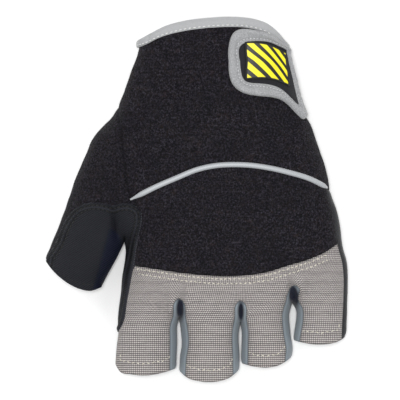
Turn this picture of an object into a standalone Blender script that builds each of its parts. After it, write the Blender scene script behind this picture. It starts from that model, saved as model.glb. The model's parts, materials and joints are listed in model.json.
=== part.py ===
"""Half-finger padded work glove for a left hand, lying on its palm with the back up.

The cuff is at +Y, the fingers at -Y and the thumb at -X. The glove stands on Z = 0.
One skin of quads follows the outline of the glove. It is cut along the seams into panels,
and each panel gets its own wall, so that neighbours meet edge to edge in the seams.
"""

import math

import bpy
import numpy as np

# Driving sizes, in metres
GLOVE_LENGTH = 0.1683
PALM_WIDTH = 0.105
BACK_HEIGHT = 0.0305
SIDE_HEIGHT = 0.0095
CUFF_LIFT = 0.0032
EDGE_SOFTNESS = 0.0115
VELOUR_WALL = 0.0020
KNIT_WALL = 0.0014
FOURCHETTE_WALL = 0.0012
LEATHER_WALL = 0.0014
PALM_WALL = 0.0030
SIDE_WALL = 0.0018
PATCH_RAISE = 0.0006
FOURCHETTE_SHOW = 0.0031
PALM_EDGE_SHOW = 0.0016
SEAM_GAP = 0.0003
BINDING_WIDTH = 0.0042
BINDING_THICKNESS = 0.0009
BINDING_FOLD = 0.0010
PIPING_WIDTH = 0.0024
PIPING_HEIGHT = 0.0013
STRAP_CLEARANCE = 0.0006
STRAP_EDGE_WIDTH = 0.0044
STRAP_EDGE_THICKNESS = 0.0026
STRAP_CORE_THICKNESS = 0.0019
BADGE_THICKNESS = 0.0008

# Outline tables. Lengths are shares: "along" of GLOVE_LENGTH from the cuff's top towards the
# fingertips, "across" of PALM_WIDTH from the middle of the palm towards the little finger.
# Each row line has columns (across, along).
ROW_LINES = {
    "cuff": [(-0.411, 0.061), (-0.363, 0.045), (-0.306, 0.027), (-0.222, 0.012), (-0.110, 0.003),
             (-0.020, 0.000), (0.046, 0.002), (0.104, 0.008), (0.150, 0.019), (0.198, 0.043), (0.233, 0.069)],
    "binding": [(-0.415, 0.082), (-0.374, 0.070), (-0.334, 0.057), (-0.222, 0.037), (-0.110, 0.028),
                (-0.015, 0.025), (0.049, 0.027), (0.104, 0.034), (0.155, 0.046), (0.200, 0.070), (0.240, 0.094)],
    "wrist": [(-0.465, 0.165), (-0.236, 0.132), (-0.020, 0.121), (0.183, 0.137), (0.262, 0.181)],
    "root": [(-0.509, 0.245), (-0.236, 0.222), (0.007, 0.211), (0.205, 0.225), (0.297, 0.258)],
    "heel": [(-0.488, 0.363), (-0.236, 0.327), (0.029, 0.305), (0.249, 0.321), (0.368, 0.352)],
    "piping": [(-0.452, 0.499), (-0.334, 0.462), (-0.244, 0.438), (-0.166, 0.418), (-0.081, 0.406),
               (-0.002, 0.403), (0.077, 0.405), (0.156, 0.412), (0.246, 0.425), (0.330, 0.441), (0.430, 0.473)],
    "patch_top": [(-0.460, 0.516), (-0.432, 0.510), (-0.403, 0.530), (-0.324, 0.503), (-0.236, 0.480),
                  (0.029, 0.445), (0.249, 0.467), (0.438, 0.511)],
    "web": [(-0.481, 0.609), (-0.412, 0.599), (-0.236, 0.582), (0.029, 0.571), (0.249, 0.560), (0.474, 0.577)],
    "knuckle": [(-0.474, 0.677), (-0.433, 0.681), (-0.340, 0.690), (-0.217, 0.701), (-0.068, 0.709),
                (0.056, 0.707), (0.148, 0.698), (0.241, 0.680), (0.340, 0.661), (0.402, 0.644), (0.478, 0.613)],
    "slit_top": [(-0.502, 0.769), (-0.368, 0.775), (-0.280, 0.791), (-0.240, 0.774), (-0.200, 0.791),
                 (-0.104, 0.800), (-0.007, 0.797), (0.032, 0.781), (0.068, 0.789), (0.161, 0.775),
                 (0.231, 0.758), (0.269, 0.737), (0.306, 0.750), (0.403, 0.739), (0.504, 0.728)],
    "crotch": [(-0.509, 0.843), (-0.368, 0.838), (-0.239, 0.823), (-0.104, 0.846), (0.031, 0.835),
               (0.152, 0.819), (0.259, 0.781), (0.381, 0.791), (0.504, 0.783)],
}
# Quad rows between each row line and the next
ROW_STEPS = {"cuff": 1, "binding": 2, "wrist": 2, "root": 2, "heel": 2, "piping": 1, "patch_top": 2, "web": 2,
             "knuckle": 2, "slit_top": 2}
FINGER_STEPS = 5
FINGER_ENDS = {
    "index": [(-0.523, 0.953), (-0.500, 0.971), (-0.456, 0.978), (-0.399, 0.982), (-0.309, 0.974), (-0.252, 0.963)],
    "middle": [(-0.239, 0.971), (-0.203, 0.988), (-0.156, 0.997), (-0.108, 1.000), (-0.059, 0.997),
               (-0.017, 0.988), (0.026, 0.968)],
    "ring": [(0.035, 0.949), (0.095, 0.958), (0.152, 0.960), (0.200, 0.954), (0.256, 0.934)],
    "little": [(0.264, 0.885), (0.300, 0.891), (0.387, 0.897), (0.455, 0.890), (0.496, 0.877)],
}
# Side lines have columns (along, across). Each slit's two sides share the line above its crotch.
LEFT_WRIST = [(0.061, -0.411), (0.078, -0.415), (0.136, -0.447), (0.196, -0.481), (0.245, -0.509)]
THUMB_SEAM = [(0.294, -0.498), (0.341, -0.489), (0.404, -0.478), (0.467, -0.465), (0.499, -0.452),
              (0.516, -0.460), (0.560, -0.474), (0.609, -0.481)]
INDEX_OUTSIDE = [(0.637, -0.474), (0.665, -0.478), (0.707, -0.495), (0.773, -0.504), (0.867, -0.512), (0.953, -0.523)]
SLIT_LINES = {
    "index": [(0.015, -0.249), (0.775, -0.239), (0.823, -0.239)],
    "middle": [(0.002, -0.090), (0.780, 0.032), (0.835, 0.031)],
    "ring": [(0.005, 0.073), (0.736, 0.269), (0.781, 0.259)],
}
SLIT_NEAR_SIDES = {
    "index": [(0.844, -0.249), (0.885, -0.250), (0.963, -0.252)],
    "middle": [(0.857, 0.025), (0.932, 0.026), (0.968, 0.026)],
    "ring": [(0.808, 0.246), (0.862, 0.249), (0.918, 0.260), (0.934, 0.256)],
}
SLIT_FAR_SIDES = {
    "index": [(0.852, -0.231), (0.897, -0.226), (0.932, -0.235), (0.971, -0.239)],
    "middle": [(0.857, 0.036), (0.899, 0.036), (0.949, 0.035)],
    "ring": [(0.797, 0.274), (0.827, 0.278), (0.862, 0.270), (0.885, 0.264)],
}
RIGHT_SIDE = [(0.063, 0.233), (0.147, 0.256), (0.196, 0.272), (0.244, 0.293), (0.290, 0.338), (0.339, 0.369),
              (0.392, 0.397), (0.434, 0.415), (0.497, 0.437), (0.522, 0.451), (0.584, 0.470), (0.630, 0.481),
              (0.676, 0.500), (0.700, 0.504), (0.773, 0.504), (0.861, 0.497), (0.877, 0.496)]
THUMB_OUTSIDE = [(0.245, -0.509), (0.273, -0.537), (0.301, -0.582), (0.332, -0.621), (0.368, -0.644),
                 (0.406, -0.672), (0.441, -0.700), (0.492, -0.725), (0.557, -0.760), (0.618, -0.804),
                 (0.650, -0.822), (0.669, -0.830)]
THUMB_INSIDE = [(0.609, -0.481), (0.642, -0.501), (0.676, -0.532), (0.732, -0.575)]
PATCH_EDGE = [(0.510, -0.432), (0.536, -0.402), (0.569, -0.405), (0.632, -0.421), (0.680, -0.434),
              (0.715, -0.443), (0.784, -0.464), (0.850, -0.482), (0.871, -0.489)]
# Thumb rows have columns: where the row meets the outer side (along), and how far the row's
# middle bows towards the thumb's end (share of GLOVE_LENGTH).
THUMB_ROWS = {"root": (0.245, 0.000), "heel": (0.360, 0.000), "piping": (0.484, -0.008),
              "patch_top": (0.552, -0.030), "web": (0.606, -0.012), "end": (0.669, 0.034)}
THUMB_STEPS = 4
# Height of the back over the floor, as a share of BACK_HEIGHT, with columns (along, share)
BACK_PROFILE = [(0.000, 0.900), (0.130, 0.900), (0.300, 0.970), (0.450, 1.000), (0.620, 0.990),
                (0.780, 0.960), (0.900, 0.930), (1.000, 0.900)]
# Dents of the back, with columns: across, along, half length, half width (shares of PALM_WIDTH),
# turn in degrees and depth as a share of BACK_HEIGHT
DENTS = [
    (-0.472, 0.450, 0.200, 0.050, 84.0, 0.055),
    (-0.440, 0.300, 0.090, 0.030, 42.0, 0.040),
    (0.240, 0.300, 0.090, 0.035, -62.0, 0.035),
]
# Outline of the wrist strap's tab on the skin, with columns in millimetres: reach from the outer
# edge of the wrist over the back, and down from the cuff's edge. The root is sewn at the side.
STRAP_UPPER = [(6.2, 5.6), (7.4, 3.9), (9.6, 3.1), (14.2, 2.6), (19.9, 3.8), (24.4, 4.4), (28.9, 4.6),
               (32.9, 5.0), (35.0, 6.2), (36.7, 8.4)]
STRAP_TIP = [(36.7, 8.4), (38.4, 13.9), (40.1, 19.6), (40.7, 25.5), (40.5, 30.9)]
STRAP_LOWER = [(5.2, 38.0), (6.6, 40.0), (9.0, 40.6), (12.4, 39.2), (15.2, 37.2), (18.4, 36.3), (22.2, 36.5),
               (29.5, 37.0), (35.6, 36.4), (38.7, 34.0), (40.5, 30.9)]
STRAP_ROOT = [(6.2, 5.6), (4.8, 16.0), (4.3, 26.0), (5.2, 38.0)]
STRAP_LONG_STEPS = 16
STRAP_CROSS_STEPS = 10
BADGE_CORNERS = [(10.3, 8.9), (29.9, 11.4), (13.1, 26.9), (33.5, 29.2)]
# How far the cuff, binding, wrist and root lines and the row after lie from the cuff's edge, in metres
WRIST_DEPTHS = [0.0, 0.0042, 0.0205, 0.0365, 0.0440]
COLUMNS = 8
# Passes that blend each corner's normal with its neighbours', so the walls don't fold at sharp turns
NORMAL_BLENDS = 2

MATERIALS = {
    "velour": ((0.020, 0.018, 0.021), 0.95),
    "knuckle_knit": ((0.390, 0.365, 0.355), 0.85),
    "fourchette_knit": ((0.330, 0.365, 0.390), 0.80),
    "leather": ((0.026, 0.030, 0.036), 0.60),
    "binding": ((0.480, 0.490, 0.500), 0.70),
    "piping": ((0.620, 0.630, 0.650), 0.40),
    "heather": ((0.400, 0.410, 0.430), 0.85),
    "strap_core": ((0.022, 0.022, 0.026), 0.75),
    "badge": ((0.900, 0.820, 0.020), 0.45),
}


def curve_through(table):
    """A smooth curve through the table's points, as a function of the first column."""
    points = np.array(table, float)
    t, v = points[:, 0], points[:, 1]
    slope = np.gradient(v, t)

    def value(at):
        at = np.clip(at, t[0], t[-1])
        i = np.clip(np.searchsorted(t, at) - 1, 0, len(t) - 2)
        h = t[i + 1] - t[i]
        s = (at - t[i]) / h
        return (
            (2 * s**3 - 3 * s**2 + 1) * v[i]
            + (s**3 - 2 * s**2 + s) * h * slope[i]
            + (3 * s**2 - 2 * s**3) * v[i + 1]
            + (s**3 - s**2) * h * slope[i + 1]
        )

    return value


def ease(value, start, end):
    """0 before start, 1 after end, smooth between."""
    s = min(max((value - start) / (end - start), 0.0), 1.0)
    return s * s * (3 - 2 * s)


LINES = {name: curve_through(table) for name, table in ROW_LINES.items()}
ENDS = {name: curve_through(table) for name, table in FINGER_ENDS.items()}
FINGERS = ["index", "middle", "ring", "little"]
INDEX_LEFT = curve_through(LEFT_WRIST + THUMB_SEAM + INDEX_OUTSIDE)
SIDES = {
    "index": (INDEX_LEFT, curve_through(SLIT_LINES["index"] + SLIT_NEAR_SIDES["index"])),
    "middle": (curve_through(SLIT_LINES["index"] + SLIT_FAR_SIDES["index"]),
               curve_through(SLIT_LINES["middle"] + SLIT_NEAR_SIDES["middle"])),
    "ring": (curve_through(SLIT_LINES["middle"] + SLIT_FAR_SIDES["middle"]),
             curve_through(SLIT_LINES["ring"] + SLIT_NEAR_SIDES["ring"])),
    "little": (curve_through(SLIT_LINES["ring"] + SLIT_FAR_SIDES["ring"]), curve_through(RIGHT_SIDE)),
}
THUMB_LEFT, THUMB_RIGHT = curve_through(THUMB_OUTSIDE), curve_through(THUMB_INSIDE)
PATCH_LINE = curve_through(PATCH_EDGE)
PROFILE = curve_through(BACK_PROFILE)


def strips(finger, along):
    """Widths of the strips at a finger's two sides (shares of PALM_WIDTH), how far each one's inner
    line sits in, and how much of each applies this far along."""
    show = FOURCHETTE_SHOW / PALM_WIDTH
    fourchette = (show, 0.35, ease(along, 0.60, 0.735))
    if finger == "index":
        width = float(PATCH_LINE(along) - INDEX_LEFT(along))
        return (max(width, 0.02), 0.5, ease(along, 0.33, 0.505)), fourchette
    if finger == "little":
        edge = PALM_EDGE_SHOW / PALM_WIDTH
        return fourchette, (3.2 * edge, 1 / 3.2, ease(along, 0.20, 0.40))
    return fourchette, fourchette


def column_across(finger, column, along):
    """Where a finger's column crosses this distance along, in shares of PALM_WIDTH."""
    left, right = (float(side(along)) for side in SIDES[finger])
    width = right - left
    (wide_l, in_l, on_l), (wide_r, in_r, on_r) = strips(finger, along)
    even = [k / COLUMNS * width for k in range(COLUMNS + 1)]
    first = even[2] + (wide_l - even[2]) * on_l
    last = even[6] + (width - wide_r - even[6]) * on_r
    at = [
        0.0,
        even[1] + (wide_l * in_l - even[1]) * on_l,
        first,
        first + (last - first) * 0.25,
        first + (last - first) * 0.50,
        first + (last - first) * 0.75,
        last,
        even[7] + (width - wide_r * in_r - even[7]) * on_r,
        width,
    ]
    return left + at[column]


def crossing(finger, column, line):
    """(across, along) where a finger's column meets a row line."""
    along = float(line(sum(float(side(0.5)) for side in SIDES[finger]) / 2))
    for _ in range(12):
        across = column_across(finger, column, along)
        along = 0.5 * along + 0.5 * float(line(across))
    return column_across(finger, column, along), along


def between(first, second, share):
    return lambda across: (1 - share) * first(across) + share * second(across)


def hand_rows():
    """[(name, line)] from the cuff to the crotch. Only a row that starts a section has its name."""
    names = list(ROW_LINES)
    rows = []
    for name, following in zip(names, names[1:]):
        for step in range(ROW_STEPS[name]):
            share = step / ROW_STEPS[name]
            rows.append((name if step == 0 else None, between(LINES[name], LINES[following], share)))
    rows.append(("crotch", LINES["crotch"]))
    return rows


class Plan:
    """The glove's outline seen from above, as quads. It holds each corner's place and side."""

    def __init__(self):
        self.places = []
        self.keys = {}
        self.outline = set()
        self.quads = []
        self.rows = hand_rows()
        self.row_of = {name: i for i, (name, _) in enumerate(self.rows) if name}
        self.crotch = self.row_of["crotch"]
        self.last = self.crotch + FINGER_STEPS
        self.lay_fingers()
        self.lay_thumb()

    def add(self, key, place, on_outline):
        if key not in self.keys:
            self.keys[key] = len(self.places)
            self.places.append(place)
        if on_outline:
            self.outline.add(self.keys[key])

    def key(self, finger, row, column):
        """One corner's name. The two sides of a slit share theirs down to the crotch."""
        if column == 0 and finger in FINGERS[1:] and row <= self.crotch:
            return FINGERS[FINGERS.index(finger) - 1], row, COLUMNS
        if finger == "thumb" and row == self.row_of["root"]:
            return "index", row, 0
        if finger == "thumb" and column == COLUMNS and row <= self.row_of["web"]:
            return "index", row, 0
        return finger, row, column

    def at(self, finger, row, column):
        return self.keys[self.key(finger, row, column)]

    def is_outline(self, finger, row, column):
        if column == 0 and finger == "index":
            return row <= self.row_of["root"] or row >= self.row_of["web"]
        if column == COLUMNS and finger == "little":
            return True
        return column in (0, COLUMNS) and row >= self.crotch

    def lay_fingers(self):
        for finger in FINGERS:
            for row in range(self.last + 1):
                for column in range(COLUMNS + 1):
                    if row <= self.crotch:
                        line = self.rows[row][1]
                    else:
                        line = between(LINES["crotch"], ENDS[finger], (row - self.crotch) / FINGER_STEPS)
                    self.add(self.key(finger, row, column), crossing(finger, column, line),
                             self.is_outline(finger, row, column))
            for row in range(self.last):
                for column in range(COLUMNS):
                    self.add_quad(finger, row, column)

    def thumb_row(self, row):
        """Outer end (along), bow and inner end (across, along) of one row across the thumb."""
        web = self.row_of["web"]
        if row <= web:
            names = ["root", "heel", "piping", "patch_top", "web"]
            marks = [self.row_of[name] for name in names]
            start, bow = (np.interp(row, marks, [THUMB_ROWS[n][i] for n in names]) for i in (0, 1))
            return start, bow, self.places[self.at("index", row, 0)]
        share = (row - web) / THUMB_STEPS
        start, bow = (THUMB_ROWS["web"][i] + share * (THUMB_ROWS["end"][i] - THUMB_ROWS["web"][i]) for i in (0, 1))
        along = THUMB_INSIDE[0][0] + share * (THUMB_INSIDE[-1][0] - THUMB_INSIDE[0][0])
        return start, bow, (float(THUMB_RIGHT(along)), along)

    def lay_thumb(self):
        root, web = self.row_of["root"], self.row_of["web"]
        self.thumb_last = web + THUMB_STEPS
        for row in range(root + 1, self.thumb_last + 1):
            start, bow, (inner_across, inner_along) = self.thumb_row(row)
            outer_across = float(THUMB_LEFT(start))
            sliver = 0.020 / (inner_across - outer_across)
            on = ease(row, self.row_of["heel"], self.row_of["patch_top"])
            for column in range(COLUMNS + 1):
                share = column / COLUMNS
                if column:
                    graded = sliver + (1 - sliver) * (column - 1) / (COLUMNS - 1)
                    share += (graded - share) * on
                across = outer_across + (inner_across - outer_across) * share
                along = start + (inner_along - start) * share + bow * 4 * share * (1 - share)
                self.add(self.key("thumb", row, column), (across, along),
                         column == 0 or (column == COLUMNS and row >= web))
        for row in range(root, self.thumb_last):
            for column in range(COLUMNS):
                self.add_quad("thumb", row, column)

    def add_quad(self, finger, row, column):
        corners = [self.at(finger, row, column), self.at(finger, row + 1, column),
                   self.at(finger, row + 1, column + 1), self.at(finger, row, column + 1)]
        kept = [c for i, c in enumerate(corners) if c != corners[i - 1]]
        self.quads.append((kept, finger, row, column))


def membrane(plan, flat):
    """How far the skin swells at each corner, from 0 on the outline to 1 far from it: the solution
    of a stretched membrane on springs, whose reach is EDGE_SOFTNESS."""
    count = len(flat)
    stiffness = np.zeros((count, count))
    weight = np.zeros(count)
    for corners, *_ in plan.quads:
        for k in range(1, len(corners) - 1):
            tri = [corners[0], corners[k], corners[k + 1]]
            p = flat[tri]
            area = abs(np.cross(p[1] - p[0], p[2] - p[0])) / 2
            edges = np.array([p[2] - p[1], p[0] - p[2], p[1] - p[0]])
            stiffness[np.ix_(tri, tri)] += edges @ edges.T / (4 * area)
            weight[tri] += area / 3
    spring = weight / EDGE_SOFTNESS**2
    system = stiffness + np.diag(spring)
    free = np.array([i for i in range(count) if i not in plan.outline])
    swell = np.zeros(count)
    swell[free] = np.linalg.solve(system[np.ix_(free, free)], spring[free])
    return np.clip(swell, 0.0, 1.0)


def dent_depth(across, along):
    """How far the dents lower the back here, in metres."""
    depth = 0.0
    for at_across, at_along, long, wide, turn, deep in DENTS:
        dx = across - at_across
        dy = (at_along - along) * GLOVE_LENGTH / PALM_WIDTH
        c, s = math.cos(math.radians(turn)), math.sin(math.radians(turn))
        u, v = (dx * c + dy * s) / long, (dy * c - dx * s) / wide
        depth += deep * BACK_HEIGHT * math.exp(-u * u - v * v)
    return depth


def heights(place, swell):
    """Heights of the back and of the palm side over the floor at one corner."""
    across, along = place
    lift = CUFF_LIFT * (1 - ease(along, 0.10, 0.30))
    side = lift + SIDE_HEIGHT
    top = side + (BACK_HEIGHT * float(PROFILE(along)) - side) * math.sqrt(swell)
    top -= dent_depth(across, along) * swell
    under = min(swell / (0.62 - 0.28 * ease(along, 0.60, 0.80)), 1.0)
    bottom = lift + SIDE_HEIGHT * (1 - math.sqrt(1 - (1 - under) ** 2))
    return top, bottom


class Skin:
    """The closed outer skin: corners, quads with the name of their panel, and corner normals."""

    def __init__(self, plan):
        self.plan = plan
        flat = np.array([(a * PALM_WIDTH, -b * GLOVE_LENGTH) for a, b in plan.places])
        swell = membrane(plan, flat)
        level = [heights(place, s) for place, s in zip(plan.places, swell)]
        self.points = [(x, y, z[0]) for (x, y), z in zip(flat, level)]
        self.swell = list(swell)
        self.under = {}
        for i, (x, y) in enumerate(flat):
            if i in plan.outline:
                self.under[i] = i
            else:
                self.under[i] = len(self.points)
                self.points.append((x, y, level[i][1]))
                self.swell.append(swell[i])
        self.points = np.array(self.points)
        self.faces = []
        for corners, finger, row, column in plan.quads:
            self.faces.append((corners, self.top_panel(finger, row, column)))
            below = [self.under[c] for c in reversed(corners)]
            self.faces.append((below, self.bottom_panel(finger, row, column)))
        self.normals = self.corner_normals()

    def wall_at(self, corner, wall):
        """A thick wall thins towards the outline, where the skin turns sharply."""
        return min(wall, SIDE_WALL) + max(wall - SIDE_WALL, 0.0) * ease(self.swell[corner], 0.15, 0.60)

    def wrap_chain(self, row):
        """One row's corners from the palm side, round the outer edge (little finger's side) and over
        the back, as (place, normal) with the distance from the outer edge, negative under the palm."""
        over = [self.plan.at(f, row, k) for f in reversed(FINGERS) for k in range(COLUMNS, -1, -1)]
        over = list(dict.fromkeys(over))
        chain = [self.under[c] for c in reversed(over[1:COLUMNS])] + over
        points = self.points[chain]
        steps = np.linalg.norm(np.diff(points, axis=0), axis=1)
        reach = np.concatenate([[0.0], np.cumsum(steps)])
        return reach - reach[COLUMNS - 1], points, self.normals[chain]

    def at(self, reach, down):
        """Place and normal on the wrist's skin: reach from the outer edge over the back (negative
        under the palm) and down from the cuff's edge towards the fingers, in metres."""
        rows = [self.plan.row_of[name] for name in ("cuff", "binding", "wrist", "root")] + [self.plan.row_of["root"] + 1]
        row = float(np.interp(down, WRIST_DEPTHS, rows))
        first = min(int(row), rows[-1] - 1)
        found = []
        for r in (first, first + 1):
            far, points, normals = self.wrap_chain(r)
            found.append([np.array([np.interp(reach, far, data[:, i]) for i in range(3)]) for data in (points, normals)])
        share = row - first
        place, normal = (found[0][i] * (1 - share) + found[1][i] * share for i in (0, 1))
        return place, normal / np.linalg.norm(normal)

    def slit_panel(self, finger, row, column):
        """The fourchette that a quad beside a slit belongs to, or None."""
        if row < self.plan.row_of["slit_top"] or finger == "thumb":
            return None
        i = FINGERS.index(finger)
        if column >= 6 and finger != "little":
            return f"fourchette_{finger}_{FINGERS[i + 1]}"
        if column < 2 and finger != "index":
            return f"fourchette_{FINGERS[i - 1]}_{finger}"
        return None

    def top_panel(self, finger, row, column):
        plan = self.plan
        patch_top = plan.row_of["patch_top"]
        if finger == "thumb":
            return "thumb_patch" if row >= patch_top and column >= 1 else "thumb_panel"
        if finger == "index" and column < 2 and patch_top <= row <= plan.crotch:
            return "thumb_patch"
        if finger == "little" and column == COLUMNS - 1 and row >= plan.row_of["piping"]:
            return "palm_panel"
        if self.slit_panel(finger, row, column):
            return self.slit_panel(finger, row, column)
        if row >= plan.row_of["knuckle"]:
            return "knuckle_panel"
        return "back_lower_panel" if row >= plan.row_of["piping"] else "back_upper_panel"

    def bottom_panel(self, finger, row, column):
        return self.slit_panel(finger, row, column) or "palm_panel"

    def corner_normals(self):
        total = np.zeros_like(self.points)
        for corners, _ in self.faces:
            p = self.points[corners]
            across = np.cross(p[2] - p[0], p[-1] - p[1])
            total[corners] += across
        normals = total / np.linalg.norm(total, axis=1)[:, None]
        for _ in range(NORMAL_BLENDS):
            blend = normals.copy()
            for corners, _ in self.faces:
                blend[corners] += 0.5 * normals[corners].mean(axis=0)
            normals = blend / np.linalg.norm(blend, axis=1)[:, None]
        return normals


def make_object(name, points, faces, finish):
    mesh = bpy.data.meshes.new(name)
    mesh.from_pydata([tuple(p) for p in points], [], faces)
    mesh.validate()
    mesh.shade_smooth()
    mesh.set_sharp_from_angle(angle=math.radians(40))
    colour, roughness = MATERIALS[finish]
    material = bpy.data.materials.get(finish) or bpy.data.materials.new(finish)
    material.use_nodes = True
    shader = material.node_tree.nodes["Principled BSDF"]
    shader.inputs["Base Color"].default_value = (*colour, 1.0)
    shader.inputs["Roughness"].default_value = roughness
    shader.inputs["Metallic"].default_value = 0.0
    mesh.materials.append(material)
    made = bpy.data.objects.new(name, mesh)
    bpy.context.scene.collection.objects.link(made)
    return made


def seam_pull(skin, faces):
    """How far each corner on a panel's edge moves into its panel, to leave half of SEAM_GAP."""
    count = {}
    for corners in faces:
        for a, b in zip(corners, corners[1:] + corners[:1]):
            count[frozenset((a, b))] = count.get(frozenset((a, b)), 0) + 1
    pulls = {}
    for corners in faces:
        for a, b in zip(corners, corners[1:] + corners[:1]):
            if count[frozenset((a, b))] == 2:
                continue
            edge = skin.points[b] - skin.points[a]
            face_up = np.mean(skin.normals[corners], axis=0)
            inward = np.cross(face_up, edge)
            inward /= np.linalg.norm(inward)
            for corner in (a, b):
                pulls.setdefault(corner, []).append(inward)
    moved = {}
    for corner, ways in pulls.items():
        mean = np.mean(ways, axis=0)
        size = np.linalg.norm(mean)
        moved[corner] = mean / size / max(size, 0.5) * SEAM_GAP / 2
    return moved


def panel(skin, name, wall, finish, raise_by=0.0):
    """One panel of the skin as a solid wall: outer face, inner face and edges."""
    faces = [corners for corners, label in skin.faces if label == name]
    used = sorted({c for corners in faces for c in corners})
    order = {c: i for i, c in enumerate(used)}
    pull = seam_pull(skin, faces)
    cuff = cuff_pull(skin)
    outer = []
    inner = []
    for c in used:
        base = skin.points[c] + pull.get(c, 0.0) + cuff.get(c, 0.0)
        outer.append(base + skin.normals[c] * raise_by)
        inner.append(base - skin.normals[c] * skin.wall_at(c, wall))
    count = len(used)
    solid = [[order[c] for c in corners] for corners in faces]
    solid += [[count + order[c] for c in reversed(corners)] for corners in faces]
    seen = {}
    for corners in faces:
        for a, b in zip(corners, corners[1:] + corners[:1]):
            seen[(a, b)] = True
    for a, b in seen:
        if (b, a) not in seen:
            solid.append([order[b], order[a], count + order[a], count + order[b]])
    return make_object(name, outer + inner, solid, finish)


def cuff_ring(skin):
    """Corners round the cuff's edge and those one row in: across the back, then back under the palm."""
    plan = skin.plan
    back = [(f, k) for f in FINGERS for k in range(COLUMNS + 1) if not (k == 0 and f != "index")]
    rows = [[plan.at(f, row, k) for f, k in back] for row in (0, 1)]
    return [row + [skin.under[c] for c in reversed(row[1:-1])] for row in rows]


def cuff_pull(skin):
    """The panels stop short of the cuff's edge by the binding's fold."""
    pulls = {}
    for edge, inner in zip(*cuff_ring(skin)):
        way = skin.points[inner] - skin.points[edge]
        pulls[edge] = way / np.linalg.norm(way) * (BINDING_FOLD + 4 * SEAM_GAP)
    return pulls


def build_cuff_binding(skin):
    """A tape folded over the cuff's edge all round, as a closed ring of U sections."""
    gap, thick = SEAM_GAP, BINDING_THICKNESS
    sections = []
    edge_ring, inner_ring = cuff_ring(skin)
    for i, (edge, inner) in enumerate(zip(edge_ring, inner_ring)):
        wall = VELOUR_WALL if i < 4 * COLUMNS else PALM_WALL
        low, low_end = (gap + skin.wall_at(corner, wall) for corner in (edge, inner))
        start, end = skin.points[edge], skin.points[inner]
        way = (end - start) / np.linalg.norm(end - start)
        fold = start + way * BINDING_FOLD
        up, up_end = skin.normals[edge], skin.normals[inner]
        sections.append([
            end + up_end * gap, end + up_end * (gap + thick), fold + up * (gap + thick), start,
            start - up * low, fold - up * (low + thick), end - up_end * (low_end + thick), end - up_end * low_end,
            fold - up * low, fold + up * gap,
        ])
    return make_object("cuff_binding", *ring(sections), "binding")


def build_piping(skin):
    """A half-round cord along the seam between the two back panels, tapered at its ends."""
    plan = skin.plan
    row = plan.row_of["piping"]
    stops = [("index", k) for k in range(0, COLUMNS + 1)]
    stops += [(f, k) for f in ("middle", "ring") for k in range(1, COLUMNS + 1)]
    stops += [("little", k) for k in range(1, COLUMNS)]
    corners = [plan.at(f, row, k) for f, k in stops]
    half, high = PIPING_WIDTH / 2, PIPING_HEIGHT
    profile = [(-half, 0.0), (half, 0.0), (half, 0.45 * high), (0.45 * half, high), (-0.45 * half, high),
               (-half, 0.45 * high)]
    sections = []
    for i, corner in enumerate(corners):
        before, after = corners[max(i - 1, 0)], corners[min(i + 1, len(corners) - 1)]
        run = skin.points[after] - skin.points[before]
        run /= np.linalg.norm(run)
        up = skin.normals[corner]
        side = np.cross(run, up)
        side /= np.linalg.norm(side)
        start = skin.points[corner]
        if i == 0:
            start = start + run * 4 * SEAM_GAP
        scale = 0.45 if i in (0, len(corners) - 1) else 1.0
        rise = SEAM_GAP if i else SEAM_GAP + PATCH_RAISE
        sections.append([start + side * a * scale + up * (rise + b * scale) for a, b in profile])
    return make_object("piping", *tube(sections), "piping")


def tube(sections):
    """Points and quads of a closed tube through the sections, with flat ends."""
    sides = len(sections[0])
    points = [p for section in sections for p in section]
    faces = []
    for i in range(len(sections) - 1):
        for k in range(sides):
            m = (k + 1) % sides
            faces.append([i * sides + k, (i + 1) * sides + k, (i + 1) * sides + m, i * sides + m])
    last = (len(sections) - 1) * sides
    faces.append(list(range(sides)))
    faces.append([last + k for k in reversed(range(sides))])
    return points, faces


def resample(points, steps):
    """The polyline's points at even distances."""
    points = np.asarray(points, float)
    length = np.concatenate([[0.0], np.cumsum(np.linalg.norm(np.diff(points, axis=0), axis=1))])
    at = np.linspace(0.0, length[-1], steps + 1)
    return np.stack([np.interp(at, length, points[:, i]) for i in (0, 1)], axis=1)


def strap_loop():
    """The tab's outline as one closed loop of (reach, down), in metres."""
    long, cross = STRAP_LONG_STEPS, STRAP_CROSS_STEPS
    upper, lower = resample(STRAP_UPPER, long), resample(STRAP_LOWER, long)
    tip, root = resample(STRAP_TIP, cross), resample(STRAP_ROOT, cross)
    return np.concatenate([upper, tip[1:-1], lower[::-1], root[-2:0:-1]]) / 1000


def inset(loop, distance):
    """The loop moved inwards by a distance."""
    before, after = np.roll(loop, 1, axis=0), np.roll(loop, -1, axis=0)
    run = after - before
    run /= np.linalg.norm(run, axis=1)[:, None]
    return loop + np.stack([-run[:, 1], run[:, 0]], axis=1) * distance


def fill_between(loop):
    """A grid of (reach, down) that fills a strap loop, from its four sides."""
    long, cross = STRAP_LONG_STEPS, STRAP_CROSS_STEPS
    upper = loop[: long + 1]
    tip = loop[long : long + cross + 1]
    lower = loop[long + cross : 2 * long + cross + 1][::-1]
    root = np.concatenate([loop[2 * long + cross :], loop[:1]])[::-1]
    s, t = np.meshgrid(np.linspace(0, 1, long + 1), np.linspace(0, 1, cross + 1), indexing="ij")
    s, t = s[..., None], t[..., None]
    corners = (1 - s) * (1 - t) * upper[0] + s * (1 - t) * upper[-1] + (1 - s) * t * lower[0] + s * t * lower[-1]
    return (1 - t) * upper[:, None] + t * lower[:, None] + (1 - s) * root[None] + s * tip[None] - corners


def strap_lift(down):
    """How high the strap's underside stands over the skin: it climbs over the cuff's binding."""
    return STRAP_CLEARANCE + (BINDING_THICKNESS + SEAM_GAP) * (1 - ease(down, 0.0047, 0.0080))


def raised(skin, place, height):
    reach, down = place
    point, up = skin.at(reach, down)
    return point + up * (strap_lift(down) + height)


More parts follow.
